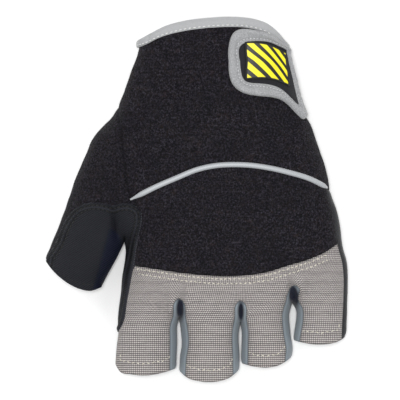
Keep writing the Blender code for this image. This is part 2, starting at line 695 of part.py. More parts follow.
def slab(skin, name, grid, low, high, finish):
    """A solid sheet over the skin, from a grid of (reach, down)."""
    rows, columns = grid.shape[:2]
    top = [raised(skin, place, high) for line in grid for place in line]
    bottom = [raised(skin, place, low) for line in grid for place in line]
    count = len(top)
    faces = []
    for i in range(rows - 1):
        for j in range(columns - 1):
            quad = [i * columns + j, (i + 1) * columns + j, (i + 1) * columns + j + 1, i * columns + j + 1]
            faces.append(quad)
            faces.append([count + c for c in reversed(quad)])
    rim = [j for j in range(columns)]
    rim += [i * columns + columns - 1 for i in range(1, rows)]
    rim += [(rows - 1) * columns + j for j in range(columns - 2, -1, -1)]
    rim += [i * columns for i in range(rows - 2, 0, -1)]
    for a, b in zip(rim, rim[1:] + rim[:1]):
        faces.append([a, b, count + b, count + a])
    return make_object(name, top + bottom, faces, finish)


def build_strap(skin):
    outline = strap_loop()
    grid = fill_between(inset(outline, STRAP_EDGE_WIDTH + SEAM_GAP))
    slab(skin, "strap_tab", grid, 0.0, STRAP_CORE_THICKNESS, "strap_core")
    inner = inset(outline, STRAP_EDGE_WIDTH)
    crown = inset(outline, STRAP_EDGE_WIDTH / 2)
    thick = STRAP_EDGE_THICKNESS
    sections = []
    for outside, middle, inside in zip(outline, crown, inner):
        spots = [(outside, 0.6 * thick), (middle, thick), (inside, 0.75 * thick), (inside, 0.0), (outside, 0.0)]
        sections.append([raised(skin, place, height) for place, height in spots])
    make_object("strap_binding", *ring(sections), "heather")
    s, t = np.meshgrid(np.linspace(0, 1, 11), np.linspace(0, 1, 9), indexing="ij")
    a, b, c, d = (np.array(corner) / 1000 for corner in BADGE_CORNERS)
    s, t = s[..., None], t[..., None]
    badge = (1 - s) * (1 - t) * a + s * (1 - t) * b + (1 - s) * t * c + s * t * d
    low = STRAP_CORE_THICKNESS + SEAM_GAP
    slab(skin, "strap_badge", badge, low, low + BADGE_THICKNESS, "badge")


def ring(sections):
    """Points and quads of a tube closed on itself."""
    sides = len(sections[0])
    points = [p for section in sections for p in section]
    faces = []
    for i in range(len(sections)):
        j = (i + 1) % len(sections)
        for k in range(sides):
            m = (k + 1) % sides
            faces.append([i * sides + k, j * sides + k, j * sides + m, i * sides + m])
    return points, faces


def main():
    for stale in list(bpy.data.objects):
        bpy.data.objects.remove(stale, do_unlink=True)
    skin = Skin(Plan())
    middle = (skin.points.min(axis=0) + skin.points.max(axis=0)) / 2
    skin.points -= np.array([middle[0], middle[1], 0.0])
    panel(skin, "back_upper_panel", VELOUR_WALL, "velour")
    panel(skin, "back_lower_panel", VELOUR_WALL, "velour")
    panel(skin, "knuckle_panel", KNIT_WALL, "knuckle_knit")
    panel(skin, "thumb_panel", VELOUR_WALL, "velour")
    panel(skin, "thumb_patch", LEATHER_WALL, "leather", PATCH_RAISE)
    panel(skin, "fourchette_index_middle", FOURCHETTE_WALL, "fourchette_knit")
    panel(skin, "fourchette_middle_ring", FOURCHETTE_WALL, "fourchette_knit")
    panel(skin, "fourchette_ring_little", FOURCHETTE_WALL, "fourchette_knit")
    panel(skin, "palm_panel", PALM_WALL, "leather")
    build_cuff_binding(skin)
    build_piping(skin)
    build_strap(skin)


main()
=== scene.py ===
"""Half-finger padded work glove for a left hand, lying on its palm with the back up.

The cuff is at +Y, the fingers at -Y and the thumb at -X. Each piece is made by its own operator,
and the sizes and colours are in the two property groups.
"""

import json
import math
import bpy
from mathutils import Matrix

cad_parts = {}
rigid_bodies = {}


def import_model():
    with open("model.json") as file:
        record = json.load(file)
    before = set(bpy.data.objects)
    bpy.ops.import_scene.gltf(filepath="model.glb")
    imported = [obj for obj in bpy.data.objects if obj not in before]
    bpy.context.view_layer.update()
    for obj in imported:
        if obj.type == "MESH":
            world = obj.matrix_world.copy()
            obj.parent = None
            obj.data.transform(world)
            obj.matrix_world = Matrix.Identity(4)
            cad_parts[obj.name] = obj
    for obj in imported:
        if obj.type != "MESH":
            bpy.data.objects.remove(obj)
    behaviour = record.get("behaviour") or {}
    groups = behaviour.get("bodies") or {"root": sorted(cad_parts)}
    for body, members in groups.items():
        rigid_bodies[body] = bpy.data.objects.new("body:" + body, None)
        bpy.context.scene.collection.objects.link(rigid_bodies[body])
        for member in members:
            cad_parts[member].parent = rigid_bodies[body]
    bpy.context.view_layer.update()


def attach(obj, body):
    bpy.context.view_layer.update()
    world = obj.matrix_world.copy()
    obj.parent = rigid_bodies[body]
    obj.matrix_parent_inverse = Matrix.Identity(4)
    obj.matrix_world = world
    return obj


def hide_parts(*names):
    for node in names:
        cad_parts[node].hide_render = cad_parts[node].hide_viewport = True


bl_info = {
    "name": "Padded work glove",
    "version": (1, 0, 0),
    "blender": (4, 5, 0),
    "location": "3D View > Sidebar > Glove",
    "description": "Builds a half-finger padded work glove with its seams, stitching and wrist strap",
    "category": "Add Mesh",
}

import bpy
import numpy as np
from mathutils import Vector, noise
from mathutils.bvhtree import BVHTree

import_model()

# Sizes in metres
GLOVE_LENGTH = 0.1683
PALM_WIDTH = 0.105
BACK_HEIGHT = 0.0305
SIDE_HEIGHT = 0.0095
CUFF_LIFT = 0.0032
EDGE_SOFTNESS = 0.0115
FOURCHETTE_SHOW = 0.0027
PALM_EDGE_SHOW = 0.0016
SIDE_WALL = 0.0018
THREAD = 0.00055
THUMB_CORNER = 0.0075
# Where the cuff tape's end laps over its start
TAPE_LAP = [(-0.383, 0.077), (-0.368, 0.044)]

# Outline tables. Lengths are shares: "along" of GLOVE_LENGTH from the cuff's top towards the
# fingertips, "across" of PALM_WIDTH from the middle of the palm towards the little finger.
# Each row line has columns (across, along).
ROW_LINES = {
    "cuff": [(-0.411, 0.061), (-0.363, 0.045), (-0.306, 0.027), (-0.222, 0.012), (-0.110, 0.003),
             (-0.020, 0.000), (0.046, 0.002), (0.104, 0.008), (0.150, 0.019), (0.198, 0.043), (0.233, 0.069)],
    "binding": [(-0.415, 0.082), (-0.374, 0.070), (-0.334, 0.057), (-0.222, 0.037), (-0.110, 0.028),
                (-0.015, 0.025), (0.049, 0.027), (0.104, 0.034), (0.155, 0.046), (0.200, 0.070), (0.240, 0.094)],
    "wrist": [(-0.465, 0.165), (-0.236, 0.132), (-0.020, 0.121), (0.183, 0.137), (0.262, 0.181)],
    "root": [(-0.509, 0.245), (-0.236, 0.222), (0.007, 0.211), (0.205, 0.225), (0.297, 0.258)],
    "heel": [(-0.488, 0.363), (-0.236, 0.327), (0.029, 0.305), (0.249, 0.321), (0.368, 0.352)],
    "piping": [(-0.452, 0.499), (-0.334, 0.462), (-0.244, 0.438), (-0.166, 0.418), (-0.081, 0.406),
               (-0.002, 0.403), (0.077, 0.405), (0.156, 0.412), (0.246, 0.425), (0.330, 0.441), (0.430, 0.473)],
    "patch_top": [(-0.460, 0.516), (-0.432, 0.510), (-0.403, 0.530), (-0.324, 0.503), (-0.236, 0.480),
                  (0.029, 0.445), (0.249, 0.467), (0.438, 0.511)],
    "web": [(-0.477, 0.600), (-0.412, 0.595), (-0.236, 0.582), (0.029, 0.571), (0.249, 0.560), (0.474, 0.577)],
    "knuckle": [(-0.474, 0.677), (-0.433, 0.681), (-0.340, 0.690), (-0.217, 0.701), (-0.068, 0.709),
                (0.056, 0.707), (0.148, 0.698), (0.241, 0.680), (0.340, 0.661), (0.402, 0.644), (0.478, 0.613)],
    "slit_top": [(-0.502, 0.769), (-0.368, 0.775), (-0.300, 0.797), (-0.270, 0.804), (-0.263, 0.790),
                 (-0.254, 0.779), (-0.240, 0.773), (-0.226, 0.779), (-0.217, 0.790), (-0.209, 0.804),
                 (-0.180, 0.800), (-0.104, 0.800), (-0.020, 0.801), (0.002, 0.805), (0.009, 0.793),
                 (0.018, 0.784), (0.032, 0.779), (0.045, 0.784), (0.054, 0.792), (0.061, 0.803),
                 (0.085, 0.796), (0.161, 0.776), (0.222, 0.772), (0.238, 0.766), (0.245, 0.752),
                 (0.255, 0.741), (0.268, 0.736), (0.281, 0.740), (0.291, 0.748), (0.299, 0.758),
                 (0.320, 0.750),
                 (0.403, 0.739), (0.504, 0.728)],
    "crotch": [(-0.509, 0.843), (-0.368, 0.838), (-0.239, 0.823), (-0.104, 0.846), (0.031, 0.835),
               (0.152, 0.819), (0.259, 0.781), (0.381, 0.791), (0.504, 0.783)],
}
# Row units between each row line and the next
ROW_STEPS = {"cuff": 1, "binding": 2, "wrist": 2, "root": 2, "heel": 2, "piping": 1, "patch_top": 2,
             "web": 2, "knuckle": 2, "slit_top": 2}
FINGER_STEPS = 5
THUMB_STEPS = 4
COLUMNS = 8
FINGER_ENDS = {
    "index": [(-0.523, 0.953), (-0.500, 0.971), (-0.456, 0.978), (-0.399, 0.982), (-0.309, 0.974), (-0.252, 0.963)],
    "middle": [(-0.239, 0.971), (-0.203, 0.988), (-0.156, 0.997), (-0.108, 1.000), (-0.059, 0.997),
               (-0.017, 0.988), (0.026, 0.968)],
    "ring": [(0.035, 0.949), (0.095, 0.958), (0.152, 0.960), (0.200, 0.954), (0.256, 0.934)],
    "little": [(0.264, 0.885), (0.300, 0.891), (0.387, 0.897), (0.455, 0.890), (0.496, 0.877)],
}
# Side lines have columns (along, across). Each slit's two sides share the line above its crotch.
LEFT_WRIST = [(0.061, -0.411), (0.078, -0.415), (0.136, -0.447), (0.196, -0.481), (0.245, -0.509)]
THUMB_SEAM = [(0.294, -0.498), (0.341, -0.489), (0.404, -0.478), (0.467, -0.465), (0.499, -0.452),
              (0.516, -0.460), (0.560, -0.472), (0.600, -0.477)]
INDEX_OUTSIDE = [(0.637, -0.466), (0.665, -0.470), (0.707, -0.482), (0.773, -0.493), (0.867, -0.507),
                 (0.953, -0.523)]
SLIT_LINES = {
    "index": [(0.015, -0.249), (0.775, -0.239), (0.823, -0.239)],
    "middle": [(0.002, -0.090), (0.780, 0.032), (0.835, 0.031)],
    "ring": [(0.005, 0.073), (0.736, 0.269), (0.781, 0.259)],
}
SLIT_NEAR_SIDES = {
    "index": [(0.844, -0.249), (0.885, -0.250), (0.963, -0.252)],
    "middle": [(0.857, 0.025), (0.932, 0.026), (0.968, 0.026)],
    "ring": [(0.808, 0.246), (0.862, 0.249), (0.918, 0.260), (0.934, 0.256)],
}
SLIT_FAR_SIDES = {
    "index": [(0.852, -0.231), (0.897, -0.226), (0.932, -0.235), (0.971, -0.239)],
    "middle": [(0.857, 0.036), (0.899, 0.036), (0.949, 0.035)],
    "ring": [(0.797, 0.274), (0.827, 0.278), (0.862, 0.270), (0.885, 0.264)],
}
RIGHT_SIDE = [(0.063, 0.233), (0.147, 0.256), (0.196, 0.272), (0.244, 0.293), (0.290, 0.338), (0.339, 0.369),
              (0.392, 0.397), (0.434, 0.415), (0.497, 0.437), (0.522, 0.451), (0.584, 0.470), (0.630, 0.481),
              (0.676, 0.500), (0.700, 0.504), (0.773, 0.504), (0.861, 0.497), (0.877, 0.496)]
THUMB_OUTSIDE = [(0.245, -0.509), (0.273, -0.537), (0.301, -0.582), (0.332, -0.621), (0.368, -0.644),
                 (0.406, -0.672), (0.441, -0.700), (0.492, -0.725), (0.557, -0.760), (0.618, -0.804),
                 (0.650, -0.822), (0.669, -0.830)]
THUMB_INSIDE = [(0.600, -0.477), (0.642, -0.509), (0.676, -0.536), (0.732, -0.577), (0.748, -0.588)]
PATCH_EDGE = [(0.510, -0.432), (0.536, -0.402), (0.569, -0.405), (0.632, -0.421), (0.680, -0.434),
              (0.715, -0.443), (0.784, -0.464), (0.850, -0.482), (0.871, -0.489)]
# Thumb rows have columns: where the row meets the outer side (along), and how far the row's
# middle bows towards the thumb's end (share of GLOVE_LENGTH).
THUMB_ROWS = {"root": (0.245, 0.000), "heel": (0.360, 0.000), "piping": (0.484, -0.008),
              "patch_top": (0.552, -0.030), "web": (0.606, -0.012), "end": (0.669, 0.027)}
# Height of the back over the floor, as a share of BACK_HEIGHT, with columns (along, share)
BACK_PROFILE = [(0.000, 0.900), (0.130, 0.900), (0.300, 0.970), (0.450, 1.000), (0.620, 0.990),
                (0.780, 0.960), (0.900, 0.930), (1.000, 0.900)]
# Soft dents and swells of the back, with columns: across, along, half length, half width (shares
# of PALM_WIDTH), turn in degrees and depth in metres
DENTS = [
    (-0.472, 0.450, 0.200, 0.050, 84.0, 0.0017),
    (-0.440, 0.300, 0.090, 0.030, 42.0, 0.0012),
    (0.240, 0.300, 0.090, 0.035, -62.0, 0.0010),
    (-0.524, 0.566, 0.075, 0.017, 96.0, 0.0030),
    (-0.468, 0.556, 0.075, 0.026, 100.0, -0.0010),
    (-0.610, 0.570, 0.100, 0.060, 60.0, -0.0008),
    (-0.390, 0.360, 0.110, 0.016, 62.0, 0.0009),
    (-0.350, 0.390, 0.120, 0.022, 40.0, 0.0007),
    (0.135, 0.225, 0.045, 0.020, 25.0, 0.0009),
    (-0.060, 0.610, 0.220, 0.040, 8.0, 0.0005),
    (0.340, 0.560, 0.130, 0.022, 74.0, 0.0008),
]
# Hollows of the web under each arch, with the same columns. Their depth also sets the painted shade under the arches.
HOLLOWS = [
    (-0.234, 0.800, 0.048, 0.0150, 90.0, 0.0034),
    (0.033, 0.806, 0.044, 0.0120, 90.0, 0.0030),
    (0.266, 0.765, 0.050, 0.0200, 96.0, 0.0034),
]
# Sides of the smooth navy lining inside the thumb: two lines of (across, along)
LINING_EDGE = [(-0.553, 0.571), (-0.623, 0.731)]
LINING_TOP = [(-0.562, 0.571), (-0.491, 0.588)]
# The leather patch's outline from above, as a closed loop of (across, along). It runs up the
# thumb's outer side, over the web and down the index finger, and closes outside the glove.
PATCH_LOOP = [(-0.828, 0.681), (-0.815, 0.654), (-0.797, 0.637), (-0.773, 0.610), (-0.756, 0.582),
              (-0.734, 0.555), (-0.705, 0.530), (-0.676, 0.516), (-0.650, 0.510), (-0.623, 0.506),
              (-0.588, 0.506), (-0.557, 0.510), (-0.531, 0.514), (-0.504, 0.510), (-0.478, 0.508),
              (-0.452, 0.509), (-0.430, 0.514), (-0.412, 0.522), (-0.401, 0.536), (-0.400, 0.555),
              (-0.406, 0.577), (-0.414, 0.599), (-0.421, 0.621), (-0.425, 0.643), (-0.430, 0.662),
              (-0.436, 0.681), (-0.443, 0.698), (-0.449, 0.720), (-0.456, 0.747), (-0.462, 0.775),
              (-0.469, 0.802), (-0.477, 0.830), (-0.491, 0.850), (-0.511, 0.867), (-0.553, 0.874),
              (-0.764, 0.775), (-0.861, 0.734)]
PATCH_CORNER = 25
PATCH_OPEN_FROM = 33
THUMB_END_ROW = [(-0.806, 0.672), (-0.791, 0.683), (-0.773, 0.695), (-0.751, 0.707), (-0.725, 0.717),
                 (-0.703, 0.723), (-0.676, 0.729), (-0.650, 0.731), (-0.619, 0.733)]
# How far the cuff, binding, wrist and root lines and one row unit more lie from the cuff's edge
WRIST_DEPTHS = [0.0, 0.0042, 0.0205, 0.0365, 0.0440]
# The tape round the wrist strap's tab on the skin, as matched outer and inner edges, with columns in
# millimetres: reach from the outer edge of the wrist over the back, and down from the cuff's edge
STRAP_OUTER = [(6.4, 5.4), (8.6, 3.2), (13.0, 2.4), (19.9, 3.9), (26.0, 4.5), (31.5, 4.8), (34.9, 6.2),
               (36.6, 9.0), (38.5, 14.5), (40.1, 20.5), (40.7, 26.5), (40.4, 31.2), (38.6, 34.6),
               (35.2, 36.6), (29.5, 37.1), (23.5, 36.7), (18.6, 36.4), (15.2, 37.4), (12.4, 39.4),
               (9.0, 41.0), (6.6, 40.2), (5.2, 37.6), (4.4, 31.0), (4.3, 24.0), (4.6, 16.0), (5.2, 9.5)]
STRAP_INNER = [(8.8, 7.0), (9.8, 6.2), (13.5, 7.0), (20.0, 8.8), (26.0, 10.3), (29.8, 11.3), (32.3, 12.7),
               (33.8, 14.8), (34.6, 18.5), (34.9, 22.1), (35.0, 25.5), (34.9, 28.2), (34.0, 30.3),
               (31.6, 31.1), (27.2, 31.1), (22.5, 30.8), (18.4, 30.8), (15.6, 31.8), (13.2, 33.7),
               (11.3, 35.4), (9.8, 35.6), (8.8, 34.0), (8.2, 30.0), (8.0, 24.0), (8.0, 16.5), (8.2, 10.0)]
BADGE_CORNERS = [(10.3, 8.9), (29.9, 11.4), (13.1, 26.9), (33.5, 29.2)]
BADGE_MARGIN = 1.07
FINGERS = ["index", "middle", "ring", "little"]


# Curves and plan

def curve_through(table):
    """A smooth curve through the table's points, as a function of the first column."""
    points = np.array(table, float)
    t, v = points[:, 0], points[:, 1]
    slope = np.gradient(v, t)

    def value(at):
        at = np.clip(at, t[0], t[-1])
        i = np.clip(np.searchsorted(t, at) - 1, 0, len(t) - 2)
        h = t[i + 1] - t[i]
        s = (at - t[i]) / h
        return (
            (2 * s**3 - 3 * s**2 + 1) * v[i]
            + (s**3 - 2 * s**2 + s) * h * slope[i]
            + (3 * s**2 - 2 * s**3) * v[i + 1]
            + (s**3 - s**2) * h * slope[i + 1]
        )

    return value


def ease(value, start, end):
    """0 before start, 1 after end, smooth between."""
    s = np.clip((value - start) / (end - start), 0.0, 1.0)
    return s * s * (3 - 2 * s)


def unit(vectors):
    return vectors / np.maximum(np.linalg.norm(vectors, axis=-1, keepdims=True), 1e-12)


LINES = {name: curve_through(table) for name, table in ROW_LINES.items()}
ENDS = {name: curve_through(table) for name, table in FINGER_ENDS.items()}
SIDES = {
    "index": (curve_through(LEFT_WRIST + THUMB_SEAM + INDEX_OUTSIDE),
              curve_through(SLIT_LINES["index"] + SLIT_NEAR_SIDES["index"])),
    "middle": (curve_through(SLIT_LINES["index"] + SLIT_FAR_SIDES["index"]),
               curve_through(SLIT_LINES["middle"] + SLIT_NEAR_SIDES["middle"])),
    "ring": (curve_through(SLIT_LINES["middle"] + SLIT_FAR_SIDES["middle"]),
             curve_through(SLIT_LINES["ring"] + SLIT_NEAR_SIDES["ring"])),
    "little": (curve_through(SLIT_LINES["ring"] + SLIT_FAR_SIDES["ring"]), curve_through(RIGHT_SIDE)),
}
THUMB_LEFT, THUMB_RIGHT = curve_through(THUMB_OUTSIDE), curve_through(THUMB_INSIDE)
PATCH_LINE = curve_through(PATCH_EDGE)
PROFILE = curve_through(BACK_PROFILE)
ROW_NAMES = list(ROW_LINES)
ROW_OF = dict(zip(ROW_NAMES, np.cumsum([0] + [ROW_STEPS[n] for n in ROW_NAMES[:-1]]).tolist()))
LAST_ROW = ROW_OF["crotch"] + FINGER_STEPS


def strips(finger, along):
    """Widths of the strips at a finger's two sides (shares of PALM_WIDTH), how far each one's inner
    line sits in, and how much of each applies this far along."""
    show = FOURCHETTE_SHOW / PALM_WIDTH
    fourchette = (show, 0.35, ease(along, 0.60, 0.735))
    if finger == "index":
        width = PATCH_LINE(along) - SIDES["index"][0](along)
        return (np.maximum(width, 0.02), 0.5, ease(along, 0.33, 0.505)), fourchette
    if finger == "little":
        edge = PALM_EDGE_SHOW / PALM_WIDTH
        return fourchette, (3.2 * edge, 1 / 3.2, ease(along, 0.20, 0.40))
    return fourchette, fourchette


def pick(knots, columns):
    """Values between the nine column knots, at fractional columns."""
    low = np.minimum(columns.astype(int), COLUMNS - 1)
    share = columns - low
    at = np.arange(len(columns))
    return knots[low, at] * (1 - share) + knots[low + 1, at] * share


def column_across(finger, columns, along):
    """Where a finger's columns cross these distances along, in shares of PALM_WIDTH."""
    left, right = (side(along) for side in SIDES[finger])
    width = right - left
    (wide_l, in_l, on_l), (wide_r, in_r, on_r) = strips(finger, along)
    even = [k / COLUMNS * width for k in range(COLUMNS + 1)]
    first = even[2] + (wide_l - even[2]) * on_l
    last = even[6] + (width - wide_r - even[6]) * on_r
    knots = [0 * width, even[1] + (wide_l * in_l - even[1]) * on_l]
    knots += [first + (last - first) * k / 4 for k in range(5)]
    knots += [even[7] + (width - wide_r * in_r - even[7]) * on_r, width]
    return left + pick(np.array(knots), columns)


def row_line(finger, row):
    """The line across the glove at a fractional row, as a function of across."""
    if row >= ROW_OF["crotch"]:
        share = (row - ROW_OF["crotch"]) / FINGER_STEPS
        first, second = LINES["crotch"], ENDS[finger]
    else:
        i = max(k for k, name in enumerate(ROW_NAMES) if ROW_OF[name] <= row)
        share = (row - ROW_OF[ROW_NAMES[i]]) / ROW_STEPS[ROW_NAMES[i]]
        first, second = LINES[ROW_NAMES[i]], LINES[ROW_NAMES[i + 1]]
    return lambda across: (1 - share) * first(across) + share * second(across)


def membrane(flat, triangles, fixed, softness):
    """How far the skin swells at each corner, from 0 on the outline to 1 far from it: the solution
    of a stretched membrane on springs, found by conjugate gradients."""
    count = len(flat)
    p = flat[triangles]
    area = np.abs(np.cross(p[:, 1] - p[:, 0], p[:, 2] - p[:, 0])) / 2
    edges = np.stack([p[:, 2] - p[:, 1], p[:, 0] - p[:, 2], p[:, 1] - p[:, 0]], axis=1)
    local = np.einsum("tik,tjk->tij", edges, edges) / (4 * area)[:, None, None]
    row = np.repeat(triangles, 3, axis=1).ravel()
    column = np.tile(triangles, (1, 3)).ravel()
    value = local.ravel()
    spring = np.bincount(triangles.ravel(), np.repeat(area / 3, 3), count) / softness**2
    diagonal = np.bincount(row[row == column], value[row == column], count) + spring
    free = np.ones(count)
    free[fixed] = 0.0

    def apply(x):
        return free * (np.bincount(row, value * x[column], count) + spring * x)

    swell = np.zeros(count)
    rest = free * spring
    ready = rest / diagonal
    step = ready.copy()
    power = rest @ ready
    start = power
    for _ in range(1500):
        pushed = apply(step)
        size = power / (step @ pushed)
        swell += size * step
        rest -= size * pushed
        ready = rest / diagonal
        new = rest @ ready
        if new < 1e-14 * start:
            break
        step = ready + step * new / power
        power = new
    return np.clip(swell, 0.0, 1.0)


def dent_depth(across, along, table):
    """How far the table's dents lower the back here, in metres."""
    depth = np.zeros_like(across)
    for at_across, at_along, long, wide, turn, deep in table:
        dx = across - at_across
        dy = (at_along - along) * GLOVE_LENGTH / PALM_WIDTH
        c, s = math.cos(math.radians(turn)), math.sin(math.radians(turn))
        u, v = (dx * c + dy * s) / long, (dy * c - dx * s) / wide
        depth += deep * np.exp(-u * u - v * v)
    return depth


class Skin:
    """The glove's outer skin as a fine net of quads. Every corner has its place, its normal, its
    swell and its cloth coordinates, and every quad the name of its panel."""

    def __init__(self, fine):
        self.fine = fine
        self.places = []
        self.outline = []
        self.ids = {}
        self.quads = []
        self.top_names = []
        self.under_names = []
        self.lay_fingers()
        self.lay_thumb()
        self.quads = np.concatenate(self.quads)
        self.raise_skin()
        self.spread_cloth()

    def new_corners(self, places):
        start = sum(len(p) for p in self.places)
        self.places.append(np.asarray(places))
        return np.arange(start, start + len(places))

    def lay_fingers(self):
        fine = self.fine
        crotch = ROW_OF["crotch"] * fine
        columns = np.arange(COLUMNS * fine + 1) / fine
        for number, finger in enumerate(FINGERS):
            ids = np.zeros((LAST_ROW * fine + 1, len(columns)), int)
            for i in range(len(ids)):
                line = row_line(finger, i / fine)
                along = line(column_across(finger, columns, np.full(len(columns), 0.5)))
                for _ in range(14):
                    along = 0.5 * along + 0.5 * line(column_across(finger, columns, along))
                places = np.stack([column_across(finger, columns, along), along], axis=1)
                shared = number > 0 and i <= crotch
                ids[i, int(shared):] = self.new_corners(places[int(shared):])
                if shared:
                    ids[i, 0] = self.ids[FINGERS[number - 1]][i, -1]
            self.ids[finger] = ids
            self.add_quads(finger, ids, 0)
        index, little = self.ids["index"], self.ids["little"]
        root, web = ROW_OF["root"] * fine, ROW_OF["web"] * fine
        self.outline += [index[: root + 1, 0], index[web:, 0], little[:, -1]]
        for left, right in zip(FINGERS, FINGERS[1:]):
            self.outline += [self.ids[left][crotch:, -1], self.ids[right][crotch:, 0]]

    def lay_thumb(self):
        fine = self.fine
        root, web = ROW_OF["root"], ROW_OF["web"]
        rows = (web - root + THUMB_STEPS) * fine
        columns = np.arange(COLUMNS * fine + 1) / fine
        ids = np.zeros((rows + 1, len(columns)), int)
        index = self.ids["index"]
        every = np.concatenate(self.places)
        ids[0] = index[root * fine, 0]
        marks = [ROW_OF[n] for n in ("root", "heel", "piping", "patch_top", "web")] + [web + THUMB_STEPS]
        for i in range(1, rows + 1):
            row = root + i / fine
            start, bow = (np.interp(row, marks, [entry[k] for entry in THUMB_ROWS.values()]) for k in (0, 1))
            if row <= web:
                inner_across, inner_along = every[index[root * fine + i, 0]]
            else:
                share = (row - web) / THUMB_STEPS
                inner_along = THUMB_INSIDE[0][0] + share * (THUMB_INSIDE[-1][0] - THUMB_INSIDE[0][0])
                inner_across = float(THUMB_RIGHT(inner_along))
            outer_across = float(THUMB_LEFT(start))
            sliver = 0.020 / (inner_across - outer_across)
            on = float(ease(row, ROW_OF["heel"], ROW_OF["patch_top"]))
            even = np.arange(COLUMNS + 1) / COLUMNS
            graded = np.concatenate([[0.0], sliver + (1 - sliver) * np.arange(COLUMNS) / (COLUMNS - 1)])
            share = np.interp(columns, np.arange(COLUMNS + 1), even + (graded - even) * on)
            across = outer_across + (inner_across - outer_across) * share
            along = start + (inner_along - start) * share + bow * 4 * share * (1 - share)
            rounding = 1.4 * np.exp(-share / 0.05) + 2.0 * np.exp(-(1 - share) / 0.06)
            along -= THUMB_CORNER * rounding * float(ease(row, web + 1.5, web + THUMB_STEPS))
            places = np.stack([across, along], axis=1)
            shared = row <= web
            kept = len(columns) - int(shared)
            ids[i, :kept] = self.new_corners(places[:kept])
            if shared:
                ids[i, -1] = index[root * fine + i, 0]
        self.ids["thumb"] = ids
        self.outline += [ids[:, 0], ids[(web - root) * fine :, -1]]
        self.add_quads("thumb", ids, root)

    def add_quads(self, finger, ids, first_row):
        quads = np.stack([ids[:-1, :-1], ids[1:, :-1], ids[1:, 1:], ids[:-1, 1:]], axis=-1)
        self.quads.append(quads.reshape(-1, 4))
        for i in range(quads.shape[0]):
            row = first_row + i // self.fine
            for j in range(quads.shape[1]):
                top, under = self.panel_names(finger, row, j // self.fine)
                self.top_names.append(top)
                self.under_names.append(under)

    def panel_names(self, finger, row, column):
        """Names of the panels that a quad of the back and the one under it belong to."""
        if finger == "thumb":
            return "thumb_panel", "palm_panel"
        number = FINGERS.index(finger)
        if row >= ROW_OF["slit_top"]:
            if column >= 6 and finger != "little":
                name = f"fourchette_{finger}_{FINGERS[number + 1]}"
                return name, name
            if column < 2 and finger != "index":
                name = f"fourchette_{FINGERS[number - 1]}_{finger}"
                return name, name
        if finger == "little" and column == COLUMNS - 1 and row >= ROW_OF["piping"]:
            return "palm_panel", "palm_panel"
        if row >= ROW_OF["knuckle"]:
            return "knuckle_panel", "palm_panel"
        return ("back_lower_panel" if row >= ROW_OF["piping"] else "back_upper_panel"), "palm_panel"

    def raise_skin(self):
        """Heights of the back and of the palm side, and every corner's normal."""
        places = np.concatenate(self.places)
        across, along = places[:, 0], places[:, 1]
        flat = np.stack([across * PALM_WIDTH, -along * GLOVE_LENGTH], axis=1)
        fixed = np.unique(np.concatenate(self.outline))
        triangles = np.concatenate([self.quads[:, [0, 1, 2]], self.quads[:, [0, 2, 3]]])
        spread = np.abs(np.cross(flat[triangles[:, 1]] - flat[triangles[:, 0]],
                                 flat[triangles[:, 2]] - flat[triangles[:, 0]]))
        swell = membrane(flat, triangles[spread > 1e-14], fixed, EDGE_SOFTNESS)
        lift = CUFF_LIFT * (1 - ease(along, 0.10, 0.30))
        side = lift + SIDE_HEIGHT
        top = side + (BACK_HEIGHT * PROFILE(along) - side) * np.sqrt(swell)
        top = top - dent_depth(across, along, DENTS) * ease(swell, 0.0, 0.5)
        hollow = dent_depth(across, along, HOLLOWS)
        top = np.maximum(top - hollow, np.minimum(top, side + 0.0010))
        under = np.minimum(swell / (0.62 - 0.28 * ease(along, 0.60, 0.80)), 1.0)
        bottom = lift + SIDE_HEIGHT * (1 - np.sqrt(1 - (1 - under) ** 2))
        count = len(places)
        inner = np.setdiff1d(np.arange(count), fixed)
        self.under = np.arange(count)
        self.under[inner] = count + np.arange(len(inner))
        self.top_count = count
        self.fixed = fixed
        points = np.column_stack([flat, top])
        below = np.column_stack([flat[inner], bottom[inner]])
        self.points = np.concatenate([points, below])
        middle = (self.points.min(axis=0) + self.points.max(axis=0)) / 2
        self.shift = np.array([middle[0], middle[1], 0.0])
        self.points -= self.shift
        self.swell = np.concatenate([swell, swell[inner]])
        # Painted shade: how deep the web's hollow under each arch lies, kept for the fourchettes' colour
        shade = np.clip(hollow / 0.0024, 0.0, 1.0)
        self.shade = np.concatenate([shade, 0.0 * shade[inner]])
        self.faces = np.concatenate([self.quads, self.under[self.quads[:, ::-1]]])
        self.names = np.array(self.top_names + self.under_names)
        self.normals = self.corner_normals(self.points)

    def corner_normals(self, points, blends=3):
        p = points[self.faces]
        across = np.cross(p[:, 2] - p[:, 0], p[:, 3] - p[:, 1])
        total = np.zeros_like(points)
        for k in range(4):
            np.add.at(total, self.faces[:, k], across)
        normals = unit(total)
        for _ in range(blends):
            mean = normals[self.faces].mean(axis=1)
            blend = normals.copy()
            for k in range(4):
                np.add.at(blend, self.faces[:, k], 0.5 * mean)
            normals = unit(blend)
        return normals

